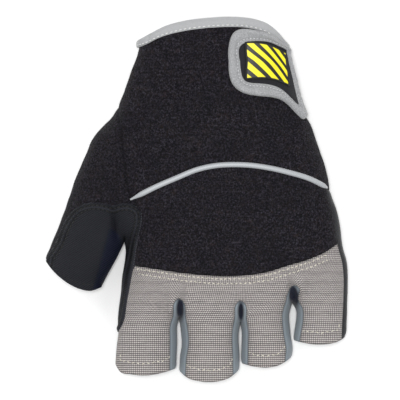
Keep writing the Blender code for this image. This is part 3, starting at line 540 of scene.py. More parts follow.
    def spread_cloth(self):
        """Cloth coordinates in metres: across from the middle, and along in plan. Steps count in
        plan, and in full only where the skin turns down at the glove's sides."""
        cloth = np.zeros((len(self.points), 2))
        cloth[:, 1] = self.points[:, 1]
        crotch = ROW_OF["crotch"] * self.fine
        edge = 2 * self.fine
        half = COLUMNS * self.fine // 2
        for under in (False, True):
            grids = {f: (self.under[g] if under else g) for f, g in self.ids.items()}
            chain = np.concatenate([grids["index"]] + [grids[f][:, 1:] for f in FINGERS[1:]], axis=1)
            upper = chain[: crotch + 1]
            far = self.steps_along(upper, [slice(0, edge), slice(-edge, None)])
            centre = COLUMNS * self.fine * 2
            cloth[upper, 0] = far - far[:, centre : centre + 1]
            for finger in FINGERS:
                lower = grids[finger][crotch:]
                far = self.steps_along(lower, [slice(0, edge), slice(-edge, None)])
                base = cloth[lower[0, half], 0]
                cloth[lower[1:], 0] = (far - far[:, half : half + 1] + base)[1:]
            thumb = grids["thumb"]
            far = self.steps_along(thumb, [slice(None)])
            cloth[thumb[1:, :-1], 0] = (far - 0.1)[1:, :-1]
        self.cloth = cloth

    def steps_along(self, rows, full):
        """Distance along each row of corners, in plan but for the full parts."""
        move = np.diff(self.points[rows], axis=1)
        steps = np.linalg.norm(move[..., :2], axis=2)
        for part in full:
            steps[:, part] = np.linalg.norm(move[:, part], axis=2)
        return np.concatenate([np.zeros((len(rows), 1)), np.cumsum(steps, axis=1)], axis=1)

    def wall_at(self, corners, wall):
        """A thick wall thins towards the outline, where the skin turns sharply."""
        return min(wall, SIDE_WALL) + max(wall - SIDE_WALL, 0.0) * ease(self.swell[corners], 0.15, 0.60)

    def wrap_chain(self, row):
        """One row's corners from the palm side, round the outer edge and over the back, with the
        distance from the outer edge, negative under the palm."""
        over = np.concatenate([self.ids["little"][row, ::-1]] + [self.ids[f][row, -2::-1] for f in FINGERS[2::-1]])
        half = COLUMNS * self.fine
        chain = np.concatenate([self.under[over[half - 1 : 0 : -1]], over])
        steps = np.linalg.norm(np.diff(self.points[chain], axis=0), axis=1)
        reach = np.concatenate([[0.0], np.cumsum(steps)])
        return reach - reach[half - 1], self.points[chain], self.normals[chain]

    def at(self, places):
        """Points and normals on the wrist's skin for places (reach, down) in metres: reach from the
        outer edge over the back, and down from the cuff's edge towards the fingers."""
        places = np.asarray(places, float)
        rows = [ROW_OF[n] * self.fine for n in ("cuff", "binding", "wrist", "root")]
        rows.append(rows[-1] + self.fine)
        row = np.clip(np.interp(places[:, 1], WRIST_DEPTHS, rows), 0, rows[-1] - 1e-6)
        first = row.astype(int)
        out = np.zeros((len(places), 6))
        for r in np.unique(np.concatenate([first, first + 1])):
            far, points, normals = self.wrap_chain(r)
            found = np.stack([np.interp(places[:, 0], far, data[:, i]) for data in (points, normals)
                              for i in range(3)], axis=1)
            weight = np.where(first == r, 1 - (row - first), np.where(first + 1 == r, row - first, 0.0))
            out += weight[:, None] * found
        return out[:, :3], unit(out[:, 3:])


STORE = {}


def get_skin():
    if "skin" not in STORE:
        STORE["skin"] = Skin(bpy.context.scene.glove_shape.net_fineness)
    return STORE["skin"]


# Meshes

def make_piece(name, points, faces, material, cloth=None, marks=None, body="root"):
    """A finished piece: smooth faces with sharp rims, its cloth coordinates and seam distance."""
    mesh = bpy.data.meshes.new(name)
    mesh.from_pydata([tuple(p) for p in np.asarray(points)], [], [list(f) for f in faces])
    if cloth is not None:
        layer = mesh.uv_layers.new(name="cloth")
        corners = np.zeros(len(mesh.loops), int)
        mesh.loops.foreach_get("vertex_index", corners)
        layer.data.foreach_set("uv", np.asarray(cloth, float)[corners].ravel())
    for label, values in (marks or {}).items():
        attribute = mesh.attributes.new(label, "FLOAT", "POINT")
        attribute.data.foreach_set("value", np.asarray(values, float))
    mesh.validate()
    mesh.shade_smooth()
    mesh.set_sharp_from_angle(angle=math.radians(50))
    mesh.materials.append(material)
    made = bpy.data.objects.new(name, mesh)
    bpy.context.scene.collection.objects.link(made)
    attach(made, body)
    STORE["piece " + name] = made
    return made


def rim_of(faces):
    """Edges with a face on one side only, each in its face's direction."""
    edges = np.stack([faces, np.roll(faces, -1, axis=1)], axis=-1).reshape(-1, 2)
    edges = edges[edges[:, 0] != edges[:, 1]]
    key = edges[:, 0].astype(np.int64) * (faces.max() + 1) + edges[:, 1]
    back = edges[:, 1].astype(np.int64) * (faces.max() + 1) + edges[:, 0]
    return edges[~np.isin(key, back)]


def distance_from(points, faces, sources, rounds):
    """Each corner's distance over the net to the nearest source corner."""
    edges = np.stack([faces, np.roll(faces, -1, axis=1)], axis=-1).reshape(-1, 2)
    length = np.linalg.norm(points[edges[:, 0]] - points[edges[:, 1]], axis=1)
    far = np.full(len(points), 0.05)
    far[sources] = 0.0
    for _ in range(rounds):
        np.minimum.at(far, edges[:, 0], far[edges[:, 1]] + length)
        np.minimum.at(far, edges[:, 1], far[edges[:, 0]] + length)
    return far


def drop_repeats(faces):
    """Faces as lists, without a corner that repeats."""
    out = []
    for face in faces.tolist():
        kept = [c for i, c in enumerate(face) if c != face[i - 1]]
        if len(kept) > 2:
            out.append(kept)
    return out


def wrinkle(points, size, amount, seed):
    """Soft uneven swells of the cloth, in metres."""
    offset = Vector((seed * 7.3, seed * 3.1, seed * 5.7))
    return np.array([noise.noise(Vector(p) / size + offset) for p in points]) * amount


def build_panel(node, name, wall, material, dip, dip_width, pillow, ripple):
    """One panel of the skin as a wall. It dips into its seams and swells between them."""
    skin = get_skin()
    faces = skin.faces[skin.names == node]
    used, flat_faces = np.unique(faces, return_inverse=True)
    faces = flat_faces.reshape(-1, 4)
    points, normals = skin.points[used], skin.normals[used]
    rim = rim_of(faces)
    seam = distance_from(points, faces, np.unique(rim), 14 + 4 * skin.fine)
    lift = -dip * np.exp(-((seam / dip_width) ** 2)) + pillow * (1 - np.exp(-seam / 0.004))
    lift += wrinkle(points, 0.013, ripple, 1) * ease(seam, 0.0, 0.004)
    lift += wrinkle(points, 0.0045, ripple * 0.35, 2) * ease(seam, 0.0, 0.002)
    on_floor = ease(points[:, 2], 0.0003, 0.0030)
    down = np.clip(-normals[:, 2], 0.0, 1.0)
    lift = np.where(down > 0.3, np.minimum(lift, 0.0) * (1 - down) + lift * on_floor * (1 - down), lift)
    outer = points + normals * lift[:, None]
    inner = points - normals * skin.wall_at(used, wall)[:, None]
    for layer in (outer, inner):
        layer[:, 2] = np.maximum(layer[:, 2], 0.00005)
    count = len(used)
    shell = drop_repeats(faces)
    shell += [[count + c for c in reversed(face)] for face in drop_repeats(faces)]
    shell += [[b, a, count + a, count + b] for a, b in rim.tolist()]
    cloth = np.concatenate([skin.cloth[used]] * 2)
    marks = {"seam": np.concatenate([seam, seam]), "shade": np.concatenate([skin.shade[used]] * 2)}
    return make_piece(name, np.concatenate([outer, inner]), shell, material, cloth, marks)


def tube_faces(count, sides, closed):
    faces = []
    for i in range(count if closed else count - 1):
        j = (i + 1) % count
        for k in range(sides):
            m = (k + 1) % sides
            faces.append([i * sides + k, j * sides + k, j * sides + m, i * sides + m])
    if not closed:
        faces.append(list(range(sides)))
        faces.append([(count - 1) * sides + k for k in reversed(range(sides))])
    return faces


def resample(points, step, closed=False):
    """The polyline's points at even distances of about step."""
    points = np.asarray(points, float)
    if closed:
        points = np.concatenate([points, points[:1]])
    length = np.concatenate([[0.0], np.cumsum(np.linalg.norm(np.diff(points, axis=0), axis=1))])
    count = max(int(round(length[-1] / step)), 3)
    at = np.linspace(0.0, length[-1], count + 1)
    if closed:
        at = at[:-1]
    return np.stack([np.interp(at, length, points[:, i]) for i in range(points.shape[1])], axis=1)


def smooth_loop(points, rounds=2):
    """A closed polyline with its corners cut, twice as many points each round."""
    points = np.asarray(points, float)
    for _ in range(rounds):
        after = np.roll(points, -1, axis=0)
        cut = np.stack([0.75 * points + 0.25 * after, 0.25 * points + 0.75 * after], axis=1)
        points = cut.reshape(-1, points.shape[1])
    return points


# Node trees

class Graph:
    """Short calls to lay out a node tree."""

    def __init__(self, tree):
        self.tree = tree

    def add(self, kind, **settings):
        node = self.tree.nodes.new(kind)
        for key, value in settings.items():
            setattr(node, key, value)
        return node

    def put(self, socket, value):
        if isinstance(value, bpy.types.NodeSocket):
            self.tree.links.new(value, socket)
        elif value is not None:
            socket.default_value = value

    def math(self, operation, a, b=None, clamp=False):
        node = self.add("ShaderNodeMath", operation=operation, use_clamp=clamp)
        self.put(node.inputs[0], a)
        self.put(node.inputs[1], b)
        return node.outputs[0]

    def mix(self, share, a, b):
        node = self.add("ShaderNodeMix", data_type="RGBA")
        self.put(node.inputs[0], share)
        self.put(node.inputs[6], a)
        self.put(node.inputs[7], b)
        return node.outputs[2]

    def noise(self, vector, scale, detail=2.0, roughness=0.5):
        node = self.add("ShaderNodeTexNoise")
        self.put(node.inputs["Vector"], vector)
        self.put(node.inputs["Scale"], scale)
        self.put(node.inputs["Detail"], detail)
        self.put(node.inputs["Roughness"], roughness)
        return node.outputs["Fac"]

    def remap(self, value, low, high, to_low=0.0, to_high=1.0):
        node = self.add("ShaderNodeMapRange")
        for socket, entry in zip(node.inputs[:5], (value, low, high, to_low, to_high)):
            self.put(socket, entry)
        return node.outputs[0]

    def bump(self, height, strength, distance, normal=None):
        node = self.add("ShaderNodeBump")
        self.put(node.inputs["Height"], height)
        self.put(node.inputs["Strength"], strength)
        self.put(node.inputs["Distance"], distance)
        if normal is not None:
            self.put(node.inputs["Normal"], normal)
        return node.outputs[0]


def new_group(name, inputs, outputs):
    """An empty shader node group with named sockets, as (graph, inputs, outputs)."""
    tree = bpy.data.node_groups.new(name, "ShaderNodeTree")
    for label, kind, value in inputs:
        socket = tree.interface.new_socket(name=label, in_out="INPUT", socket_type=kind)
        if value is not None:
            socket.default_value = value
    for label, kind in outputs:
        tree.interface.new_socket(name=label, in_out="OUTPUT", socket_type=kind)
    graph = Graph(tree)
    return graph, graph.add("NodeGroupInput").outputs, graph.add("NodeGroupOutput").inputs


def weave_group():
    """Crossed threads: ribs one way and picks the other, with open gaps between."""
    name = "Weave"
    if name in bpy.data.node_groups:
        return bpy.data.node_groups[name]
    graph, given, out = new_group(
        name,
        [("Cloth", "NodeSocketVector", None), ("Across pitch", "NodeSocketFloat", 0.001),
         ("Along pitch", "NodeSocketFloat", 0.001), ("Unevenness", "NodeSocketFloat", 0.15)],
        [("Height", "NodeSocketFloat"), ("Gaps", "NodeSocketFloat")],
    )
    split = graph.add("ShaderNodeSeparateXYZ")
    graph.put(split.inputs[0], given["Cloth"])
    drift = graph.math("SUBTRACT", graph.noise(given["Cloth"], 260.0, 1.0), 0.5)
    waves = []
    for axis, pitch in ((0, "Across pitch"), (1, "Along pitch")):
        turns = graph.math("DIVIDE", split.outputs[axis], given[pitch])
        turns = graph.math("ADD", turns, graph.math("MULTIPLY", drift, given["Unevenness"]))
        wave = graph.math("SINE", graph.math("MULTIPLY", turns, 2 * math.pi))
        waves.append(graph.math("ADD", graph.math("MULTIPLY", wave, 0.5), 0.5))
    height = graph.math("MULTIPLY", graph.math("POWER", waves[0], 0.45), graph.math("POWER", waves[1], 0.8))
    graph.put(out["Height"], height)
    graph.put(out["Gaps"], graph.math("SUBTRACT", 1.0, graph.math("POWER", height, 0.7)))
    return graph.tree


def fuzz_group():
    """Fine speckle of brushed fibres over slow patches of nap."""
    name = "Fuzz"
    if name in bpy.data.node_groups:
        return bpy.data.node_groups[name]
    graph, given, out = new_group(
        name,
        [("Place", "NodeSocketVector", None), ("Fineness", "NodeSocketFloat", 1500.0),
         ("Nap size", "NodeSocketFloat", 90.0)],
        [("Speckle", "NodeSocketFloat"), ("Nap", "NodeSocketFloat")],
    )
    fine = graph.noise(given["Place"], given["Fineness"], 3.0, 0.7)
    graph.put(out["Speckle"], graph.remap(fine, 0.40, 0.66))
    slow = graph.noise(given["Place"], given["Nap size"], 3.0, 0.55)
    graph.put(out["Nap"], graph.remap(slow, 0.34, 0.68))
    return graph.tree


def seam_group():
    """1 in the groove of a seam, falling to 0 a short way out of it."""
    name = "Seam shade"
    if name in bpy.data.node_groups:
        return bpy.data.node_groups[name]
    graph, given, out = new_group(
        name, [("Width", "NodeSocketFloat", 0.0012)], [("Shade", "NodeSocketFloat")])
    seam = graph.add("ShaderNodeAttribute", attribute_name="seam")
    graph.put(out["Shade"], graph.remap(seam.outputs["Fac"], 0.0, given["Width"], 1.0, 0.0))
    return graph.tree


def material_base(name, roughness, sheen=0.0, sheen_roughness=0.5, sheen_tint=(1, 1, 1, 1), specular=0.3):
    material = bpy.data.materials.new(name)
    material.use_nodes = True
    graph = Graph(material.node_tree)
    shader = material.node_tree.nodes["Principled BSDF"]
    shader.inputs["Roughness"].default_value = roughness
    shader.inputs["Specular IOR Level"].default_value = specular
    shader.inputs["Sheen Weight"].default_value = sheen
    shader.inputs["Sheen Roughness"].default_value = sheen_roughness
    shader.inputs["Sheen Tint"].default_value = sheen_tint
    place = graph.add("ShaderNodeTexCoord").outputs["Object"]
    cloth = graph.add("ShaderNodeUVMap", uv_map="cloth").outputs[0]
    return material, graph, shader, place, cloth


def group_in(graph, tree, **values):
    node = graph.add("ShaderNodeGroup", node_tree=tree)
    for label, value in values.items():
        graph.put(node.inputs[label.replace("_", " ")], value)
    return node.outputs


def finish(name):
    """The material of one finish, made the first time it is asked for."""
    if name not in STORE:
        STORE[name] = FINISHES[name](name)
    return STORE[name]


def rgba(colour, gain=1.0):
    return (*[min(c * gain, 1.0) for c in colour], 1.0)


def velour(name):
    """Black brushed velour: a brownish speckle, faint lengthwise knit and soft sheen."""
    fabrics = bpy.context.scene.glove_fabrics
    material, graph, shader, place, cloth = material_base(name, 0.92, 0.05, 0.35, (0.8, 0.78, 0.8, 1.0), 0.10)
    fuzz = group_in(graph, fuzz_group(), Place=place, Fineness=1150.0, Nap_size=95.0)
    fleck = group_in(graph, fuzz_group(), Place=place, Fineness=620.0, Nap_size=260.0)
    weave = group_in(graph, weave_group(), Cloth=cloth, Across_pitch=0.00095, Along_pitch=0.0034, Unevenness=0.9)
    seam = group_in(graph, seam_group(), Width=0.0009)
    grain = graph.math("POWER", fuzz["Speckle"], 1.6)
    colour = graph.mix(grain, rgba(fabrics.velour, 0.28), rgba(fabrics.velour, 3.4))
    brown = graph.math("MULTIPLY", graph.math("MULTIPLY", fleck["Speckle"], fleck["Nap"]), 0.55)
    colour = graph.mix(brown, colour, rgba(fabrics.velour_fleck))
    colour = graph.mix(graph.math("MULTIPLY", fuzz["Nap"], 0.40), colour, rgba(fabrics.velour, 0.55))
    colour = graph.mix(graph.math("MULTIPLY", weave["Gaps"], 0.32), colour, rgba(fabrics.velour, 0.30))
    colour = graph.mix(graph.math("MULTIPLY", seam["Shade"], 0.6), colour, rgba(fabrics.velour, 0.3))
    graph.put(shader.inputs["Base Color"], colour)
    height = graph.math("ADD", fuzz["Speckle"], graph.math("MULTIPLY", weave["Height"], 0.6))
    graph.put(shader.inputs["Normal"], graph.bump(height, 0.7, 0.00030))
    return material


def knuckle_knit(name):
    """Warm grey open weave, with a square net of picks and ribs."""
    fabrics = bpy.context.scene.glove_fabrics
    material, graph, shader, place, cloth = material_base(name, 0.8, 0.1, 0.5, specular=0.25)
    weave = group_in(graph, weave_group(), Cloth=cloth, Across_pitch=0.00097, Along_pitch=0.00093, Unevenness=0.22)
    fuzz = group_in(graph, fuzz_group(), Place=place, Fineness=2200.0, Nap_size=160.0)
    seam = group_in(graph, seam_group(), Width=0.0008)
    split = graph.add("ShaderNodeSeparateXYZ")
    graph.put(split.inputs[0], cloth)
    drift = graph.math("MULTIPLY", graph.noise(cloth, 140.0, 2.0), 5.0)
    course = graph.math("SINE", graph.math("ADD", graph.math("MULTIPLY", split.outputs[1], 2 * math.pi / 0.0047), drift))
    course = graph.remap(course, 0.2, 1.0)
    thread = graph.mix(graph.math("MULTIPLY", fuzz["Speckle"], 0.6), rgba(fabrics.knuckle, 0.80), rgba(fabrics.knuckle, 1.2))
    colour = graph.mix(graph.remap(weave["Gaps"], 0.30, 0.85), thread, rgba(fabrics.knuckle_gaps))
    colour = graph.mix(graph.math("MULTIPLY", course, 0.22), colour, rgba(fabrics.knuckle_gaps))
    colour = graph.mix(graph.math("MULTIPLY", fuzz["Nap"], 0.12), colour, rgba(fabrics.knuckle, 0.7))
    colour = graph.mix(graph.math("MULTIPLY", seam["Shade"], 0.5), colour, rgba(fabrics.knuckle_gaps, 0.5))
    graph.put(shader.inputs["Base Color"], colour)
    graph.put(shader.inputs["Normal"], graph.bump(weave["Height"], 0.85, 0.00035))
    return material


def fourchette_knit(name):
    """Smooth blue-grey fine knit of the strips between the fingers, turned to the lining's navy in the hollows under
    the arches: painted shade, partly the real navy lining.
    """
    fabrics = bpy.context.scene.glove_fabrics
    material, graph, shader, place, cloth = material_base(name, 0.62, 0.15, 0.4, specular=0.3)
    weave = group_in(graph, weave_group(), Cloth=cloth, Across_pitch=0.00042, Along_pitch=0.0005, Unevenness=0.1)
    fuzz = group_in(graph, fuzz_group(), Place=place, Fineness=2600.0, Nap_size=120.0)
    colour = graph.mix(graph.math("MULTIPLY", weave["Gaps"], 0.3), rgba(fabrics.fourchette), rgba(fabrics.fourchette, 0.6))
    colour = graph.mix(graph.math("MULTIPLY", fuzz["Nap"], 0.18), colour, rgba(fabrics.fourchette, 0.75))
    # Painted shade: the deeper the web's hollow under an arch, the more the strip turns to the lining's navy, partly
    # the real navy lining there
    shade = graph.add("ShaderNodeAttribute", attribute_name="shade")
    colour = graph.mix(graph.remap(shade.outputs["Fac"], 0.15, 0.75), colour, rgba(fabrics.lining))
    seam = group_in(graph, seam_group(), Width=0.0006)
    colour = graph.mix(graph.math("MULTIPLY", seam["Shade"], 0.6), colour, rgba(fabrics.fourchette, 0.25))
    graph.put(shader.inputs["Base Color"], colour)
    graph.put(shader.inputs["Normal"], graph.bump(weave["Height"], 0.4, 0.00012))
    return material


def leather(name):
    """Dark slate synthetic leather with fine slanting ribs, with painted shade in its stitch grooves and painted
    highlights on the ridge between them and along its rim.
    """
    fabrics = bpy.context.scene.glove_fabrics
    material, graph, shader, place, cloth = material_base(name, 0.6, specular=0.18)
    turn = graph.add("ShaderNodeMapping")
    graph.put(turn.inputs["Vector"], place)
    turn.inputs["Rotation"].default_value = (0.0, 0.0, math.radians(-33))
    split = graph.add("ShaderNodeSeparateXYZ")
    graph.put(split.inputs[0], turn.outputs[0])
    drift = graph.math("MULTIPLY", graph.noise(place, 420.0, 2.0), 1.6)
    rib = graph.math("SINE", graph.math("ADD", graph.math("MULTIPLY", split.outputs[1], 2 * math.pi / 0.00085), drift))
    rib = graph.math("ADD", graph.math("MULTIPLY", rib, 0.5), 0.5)
    fuzz = group_in(graph, fuzz_group(), Place=place, Fineness=1900.0, Nap_size=130.0)
    seam = group_in(graph, seam_group(), Width=0.0008)
    colour = graph.mix(rib, rgba(fabrics.leather, 0.40), rgba(fabrics.leather, 1.5))
    colour = graph.mix(graph.math("MULTIPLY", fuzz["Speckle"], 0.3), colour, rgba(fabrics.leather, 1.9))
    edge = graph.add("ShaderNodeAttribute", attribute_name="seam").outputs["Fac"]
    # Painted shade: darker in the grooves of the two stitch rows
    for row in (0.0016, 0.0032):
        near = graph.math("ABSOLUTE", graph.math("SUBTRACT", edge, row))
        colour = graph.mix(graph.remap(near, 0.0003, 0.0008, 0.8, 0.0), colour, rgba(fabrics.leather, 0.40))
    # Painted highlight: lighter on the raised ridge between the two stitch rows
    ridge_highlight = graph.math("ABSOLUTE", graph.math("SUBTRACT", edge, 0.0024))
    colour = graph.mix(graph.remap(ridge_highlight, 0.0001, 0.0006, 0.8, 0.0), colour, rgba(fabrics.leather, 2.1))
    # Painted highlight: lighter along the patch's rim, where the seam mask is high
    colour = graph.mix(graph.math("MULTIPLY", seam["Shade"], 0.75), colour, rgba(fabrics.leather, 2.2))
    shade = graph.add("ShaderNodeAttribute", attribute_name="shade")
    colour = graph.mix(shade.outputs["Fac"], colour, rgba(fabrics.lining))
    graph.put(shader.inputs["Base Color"], colour)
    graph.put(shader.inputs["Roughness"], graph.remap(fuzz["Nap"], 0.0, 1.0, 0.54, 0.70))
    height = graph.math("ADD", rib, graph.math("MULTIPLY", fuzz["Speckle"], 0.5))
    graph.put(shader.inputs["Normal"], graph.bump(height, 0.8, 0.00030))
    return material


def palm_leather(name):
    """Dark grained leather of the palm, scuffed a little paler where it takes the load."""
    fabrics = bpy.context.scene.glove_fabrics
    material, graph, shader, place, cloth = material_base(name, 0.6, specular=0.35)
    cells = graph.add("ShaderNodeTexVoronoi", feature="DISTANCE_TO_EDGE")
    graph.put(cells.inputs["Vector"], place)
    cells.inputs["Scale"].default_value = 900.0
    grain = graph.remap(cells.outputs["Distance"], 0.0, 0.25)
    fuzz = group_in(graph, fuzz_group(), Place=place, Fineness=1500.0, Nap_size=70.0)
    seam = group_in(graph, seam_group(), Width=0.0016)
    colour = graph.mix(grain, rgba(fabrics.palm, 0.6), rgba(fabrics.palm, 1.2))
    colour = graph.mix(graph.math("MULTIPLY", fuzz["Nap"], 0.35), colour, rgba(fabrics.palm, 1.9))
    colour = graph.mix(graph.math("MULTIPLY", seam["Shade"], 0.5), colour, rgba(fabrics.palm, 0.5))
    graph.put(shader.inputs["Base Color"], colour)
    graph.put(shader.inputs["Roughness"], graph.remap(fuzz["Nap"], 0.0, 1.0, 0.72, 0.55))
    graph.put(shader.inputs["Normal"], graph.bump(grain, 0.45, 0.0002))
    return material


def tape(name):
    """Light grey woven tape with fine cross ribs."""
    fabrics = bpy.context.scene.glove_fabrics
    material, graph, shader, place, cloth = material_base(name, 0.75, 0.2, 0.4, specular=0.25)
    weave = group_in(graph, weave_group(), Cloth=cloth, Across_pitch=0.00055, Along_pitch=0.0006, Unevenness=0.2)
    fuzz = group_in(graph, fuzz_group(), Place=place, Fineness=2000.0, Nap_size=150.0)
    colour = graph.mix(graph.math("MULTIPLY", weave["Gaps"], 0.35), rgba(fabrics.tape), rgba(fabrics.tape, 0.6))
    colour = graph.mix(graph.math("MULTIPLY", fuzz["Speckle"], 0.25), colour, rgba(fabrics.tape, 1.25))
    graph.put(shader.inputs["Base Color"], colour)
    graph.put(shader.inputs["Normal"], graph.bump(weave["Height"], 0.4, 0.00015))
    return material


def heather(name):
    """Heather grey knitted tape: pale and dark fibres mixed."""
    fabrics = bpy.context.scene.glove_fabrics
    material, graph, shader, place, cloth = material_base(name, 0.88, 0.3, 0.4, specular=0.15)
    fuzz = group_in(graph, fuzz_group(), Place=place, Fineness=1700.0, Nap_size=260.0)
    weave = group_in(graph, weave_group(), Cloth=cloth, Across_pitch=0.0005, Along_pitch=0.0006, Unevenness=0.35)
    streak = group_in(graph, fuzz_group(), Place=cloth, Fineness=900.0, Nap_size=330.0)
    colour = graph.mix(graph.math("MULTIPLY", fuzz["Speckle"], 0.8), rgba(fabrics.heather, 0.70), rgba(fabrics.heather, 1.32))
    colour = graph.mix(graph.math("MULTIPLY", streak["Nap"], 0.3), colour, rgba(fabrics.heather, 0.6))
    colour = graph.mix(graph.math("MULTIPLY", weave["Gaps"], 0.3), colour, rgba(fabrics.heather, 0.55))
    graph.put(shader.inputs["Base Color"], colour)
    height = graph.math("ADD", weave["Height"], fuzz["Speckle"])
    graph.put(shader.inputs["Normal"], graph.bump(height, 0.55, 0.0002))
    return material


def silver_cord(name):
    """Pale silver piping with a faint slanting wrap."""
    fabrics = bpy.context.scene.glove_fabrics
    material, graph, shader, place, cloth = material_base(name, 0.42, 0.1, 0.4, specular=0.5)
    weave = group_in(graph, weave_group(), Cloth=cloth, Across_pitch=0.0007, Along_pitch=0.0011, Unevenness=0.1)
    colour = graph.mix(graph.math("MULTIPLY", weave["Gaps"], 0.2), rgba(fabrics.piping), rgba(fabrics.piping, 0.6))
    graph.put(shader.inputs["Base Color"], colour)
    graph.put(shader.inputs["Normal"], graph.bump(weave["Height"], 0.3, 0.0001))
    return material


def strap_cloth(name):
    """Black close-woven cloth of the strap's tab."""
    fabrics = bpy.context.scene.glove_fabrics
    material, graph, shader, place, cloth = material_base(name, 0.8, 0.1, 0.4, specular=0.25)
    weave = group_in(graph, weave_group(), Cloth=cloth, Across_pitch=0.0006, Along_pitch=0.0006, Unevenness=0.1)
    colour = graph.mix(weave["Gaps"], rgba(fabrics.strap, 1.5), rgba(fabrics.strap, 0.5))
    graph.put(shader.inputs["Base Color"], colour)
    graph.put(shader.inputs["Normal"], graph.bump(weave["Height"], 0.5, 0.0002))
    return material


def badge_rubber(name):
    """Moulded badge with plain slanting stripes in yellow and black."""
    fabrics = bpy.context.scene.glove_fabrics
    material, graph, shader, place, cloth = material_base(name, 0.42, specular=0.45)
    split = graph.add("ShaderNodeSeparateXYZ")
    graph.put(split.inputs[0], cloth)
    slant = graph.math("ADD", graph.math("MULTIPLY", split.outputs[0], 1.1), split.outputs[1])
    stripe = graph.math("FRACT", graph.math("MULTIPLY", graph.math("ADD", slant, 4.06), 1.58))
    mask = graph.math("MULTIPLY", graph.remap(stripe, 0.04, 0.07), graph.remap(stripe, 0.60, 0.63, 1.0, 0.0))
    for way in split.outputs[:2]:
        reach = graph.math("ABSOLUTE", way)
        mask = graph.math("MULTIPLY", mask, graph.remap(reach, 0.885, 0.905, 1.0, 0.0))
    fuzz = group_in(graph, fuzz_group(), Place=place, Fineness=1200.0, Nap_size=200.0)
    colour = graph.mix(mask, rgba(fabrics.badge_dark), rgba(fabrics.badge))
    colour = graph.mix(graph.math("MULTIPLY", fuzz["Nap"], 0.12), colour, rgba(fabrics.badge_dark))
    graph.put(shader.inputs["Base Color"], colour)
    height = graph.math("ADD", graph.math("MULTIPLY", mask, 1.0), graph.math("MULTIPLY", fuzz["Speckle"], 0.12))
    graph.put(shader.inputs["Normal"], graph.bump(height, 0.5, 0.0002))
    return material


def thread_of(colour_name):
    def build(name):
        fabrics = bpy.context.scene.glove_fabrics
        material, graph, shader, place, _ = material_base(name, 0.6, 0.1, 0.4, specular=0.35)
        colour = tuple(getattr(fabrics, colour_name))
        fuzz = group_in(graph, fuzz_group(), Place=place, Fineness=3000.0, Nap_size=400.0)
        graph.put(shader.inputs["Base Color"], graph.mix(fuzz["Speckle"], rgba(colour, 0.75), rgba(colour, 1.1)))
        return material

    return build


FINISHES = {
    "velour": velour, "knuckle_knit": knuckle_knit, "fourchette_knit": fourchette_knit,
    "leather": leather, "palm_leather": palm_leather, "binding": tape, "heather": heather,
    "piping": silver_cord, "strap_core": strap_cloth, "badge": badge_rubber,
    "cream_thread": thread_of("cream_thread"), "dark_thread": thread_of("dark_thread"),
    "grey_thread": thread_of("grey_thread"), "slate_thread": thread_of("slate_thread"),
    "heather_thread": thread_of("heather_thread"),
}


# Stitches

def stitch_tree():
    """Lays one rounded stitch on each point, turned along "run" with its back to "face_up"."""
    name = "Stitch row"
    if name in bpy.data.node_groups:
        return bpy.data.node_groups[name]
    tree = bpy.data.node_groups.new(name, "GeometryNodeTree")
    for label, kind, value in (("Geometry", "NodeSocketGeometry", None), ("Length", "NodeSocketFloat", 0.0016),
                               ("Width", "NodeSocketFloat", 0.0005), ("Height", "NodeSocketFloat", 0.0004),
                               ("Slant", "NodeSocketFloat", 0.0), ("Thread", "NodeSocketMaterial", None)):
        socket = tree.interface.new_socket(name=label, in_out="INPUT", socket_type=kind)
        if value is not None:
            socket.default_value = value
    tree.interface.new_socket(name="Geometry", in_out="OUTPUT", socket_type="NodeSocketGeometry")
    graph = Graph(tree)
    given = graph.add("NodeGroupInput").outputs
    out = graph.add("NodeGroupOutput").inputs
    points = graph.add("GeometryNodeMeshToPoints")
    graph.put(points.inputs["Mesh"], given["Geometry"])
    turned = None
    for axis, label in (("X", "run"), ("Z", "face_up")):
        read = graph.add("GeometryNodeInputNamedAttribute", data_type="FLOAT_VECTOR")
        read.inputs["Name"].default_value = label
        align = graph.add("FunctionNodeAlignRotationToVector", axis=axis)
        if axis == "Z":
            align.pivot_axis = "X"
        graph.put(align.inputs["Rotation"], turned)
        graph.put(align.inputs["Vector"], read.outputs[0])
        turned = align.outputs[0]
    slant = graph.add("FunctionNodeRotateRotation", rotation_space="LOCAL")
    spin = graph.add("FunctionNodeAxisAngleToRotation")
    spin.inputs["Axis"].default_value = (0.0, 0.0, 1.0)
    graph.put(spin.inputs["Angle"], given["Slant"])
    graph.put(slant.inputs["Rotation"], turned)
    graph.put(slant.inputs["Rotate By"], spin.outputs[0])
    bead = graph.add("GeometryNodeMeshUVSphere")
    bead.inputs["Segments"].default_value = 8
    bead.inputs["Rings"].default_value = 6
    bead.inputs["Radius"].default_value = 0.5
    size = graph.add("ShaderNodeCombineXYZ")
    for socket, label in zip(size.inputs, ("Length", "Width", "Height")):
        graph.put(socket, given[label])
    shaped = graph.add("GeometryNodeTransform")
    graph.put(shaped.inputs["Geometry"], bead.outputs["Mesh"])
    graph.put(shaped.inputs["Scale"], size.outputs[0])
    lay = graph.add("GeometryNodeInstanceOnPoints")
    graph.put(lay.inputs["Points"], points.outputs[0])
    graph.put(lay.inputs["Instance"], shaped.outputs[0])
    graph.put(lay.inputs["Rotation"], slant.outputs[0])
    real = graph.add("GeometryNodeRealizeInstances")
    graph.put(real.inputs[0], lay.outputs[0])
    coat = graph.add("GeometryNodeSetMaterial")
    graph.put(coat.inputs["Geometry"], real.outputs[0])
    graph.put(coat.inputs["Material"], given["Thread"])
    graph.put(out["Geometry"], coat.outputs[0])
    return tree


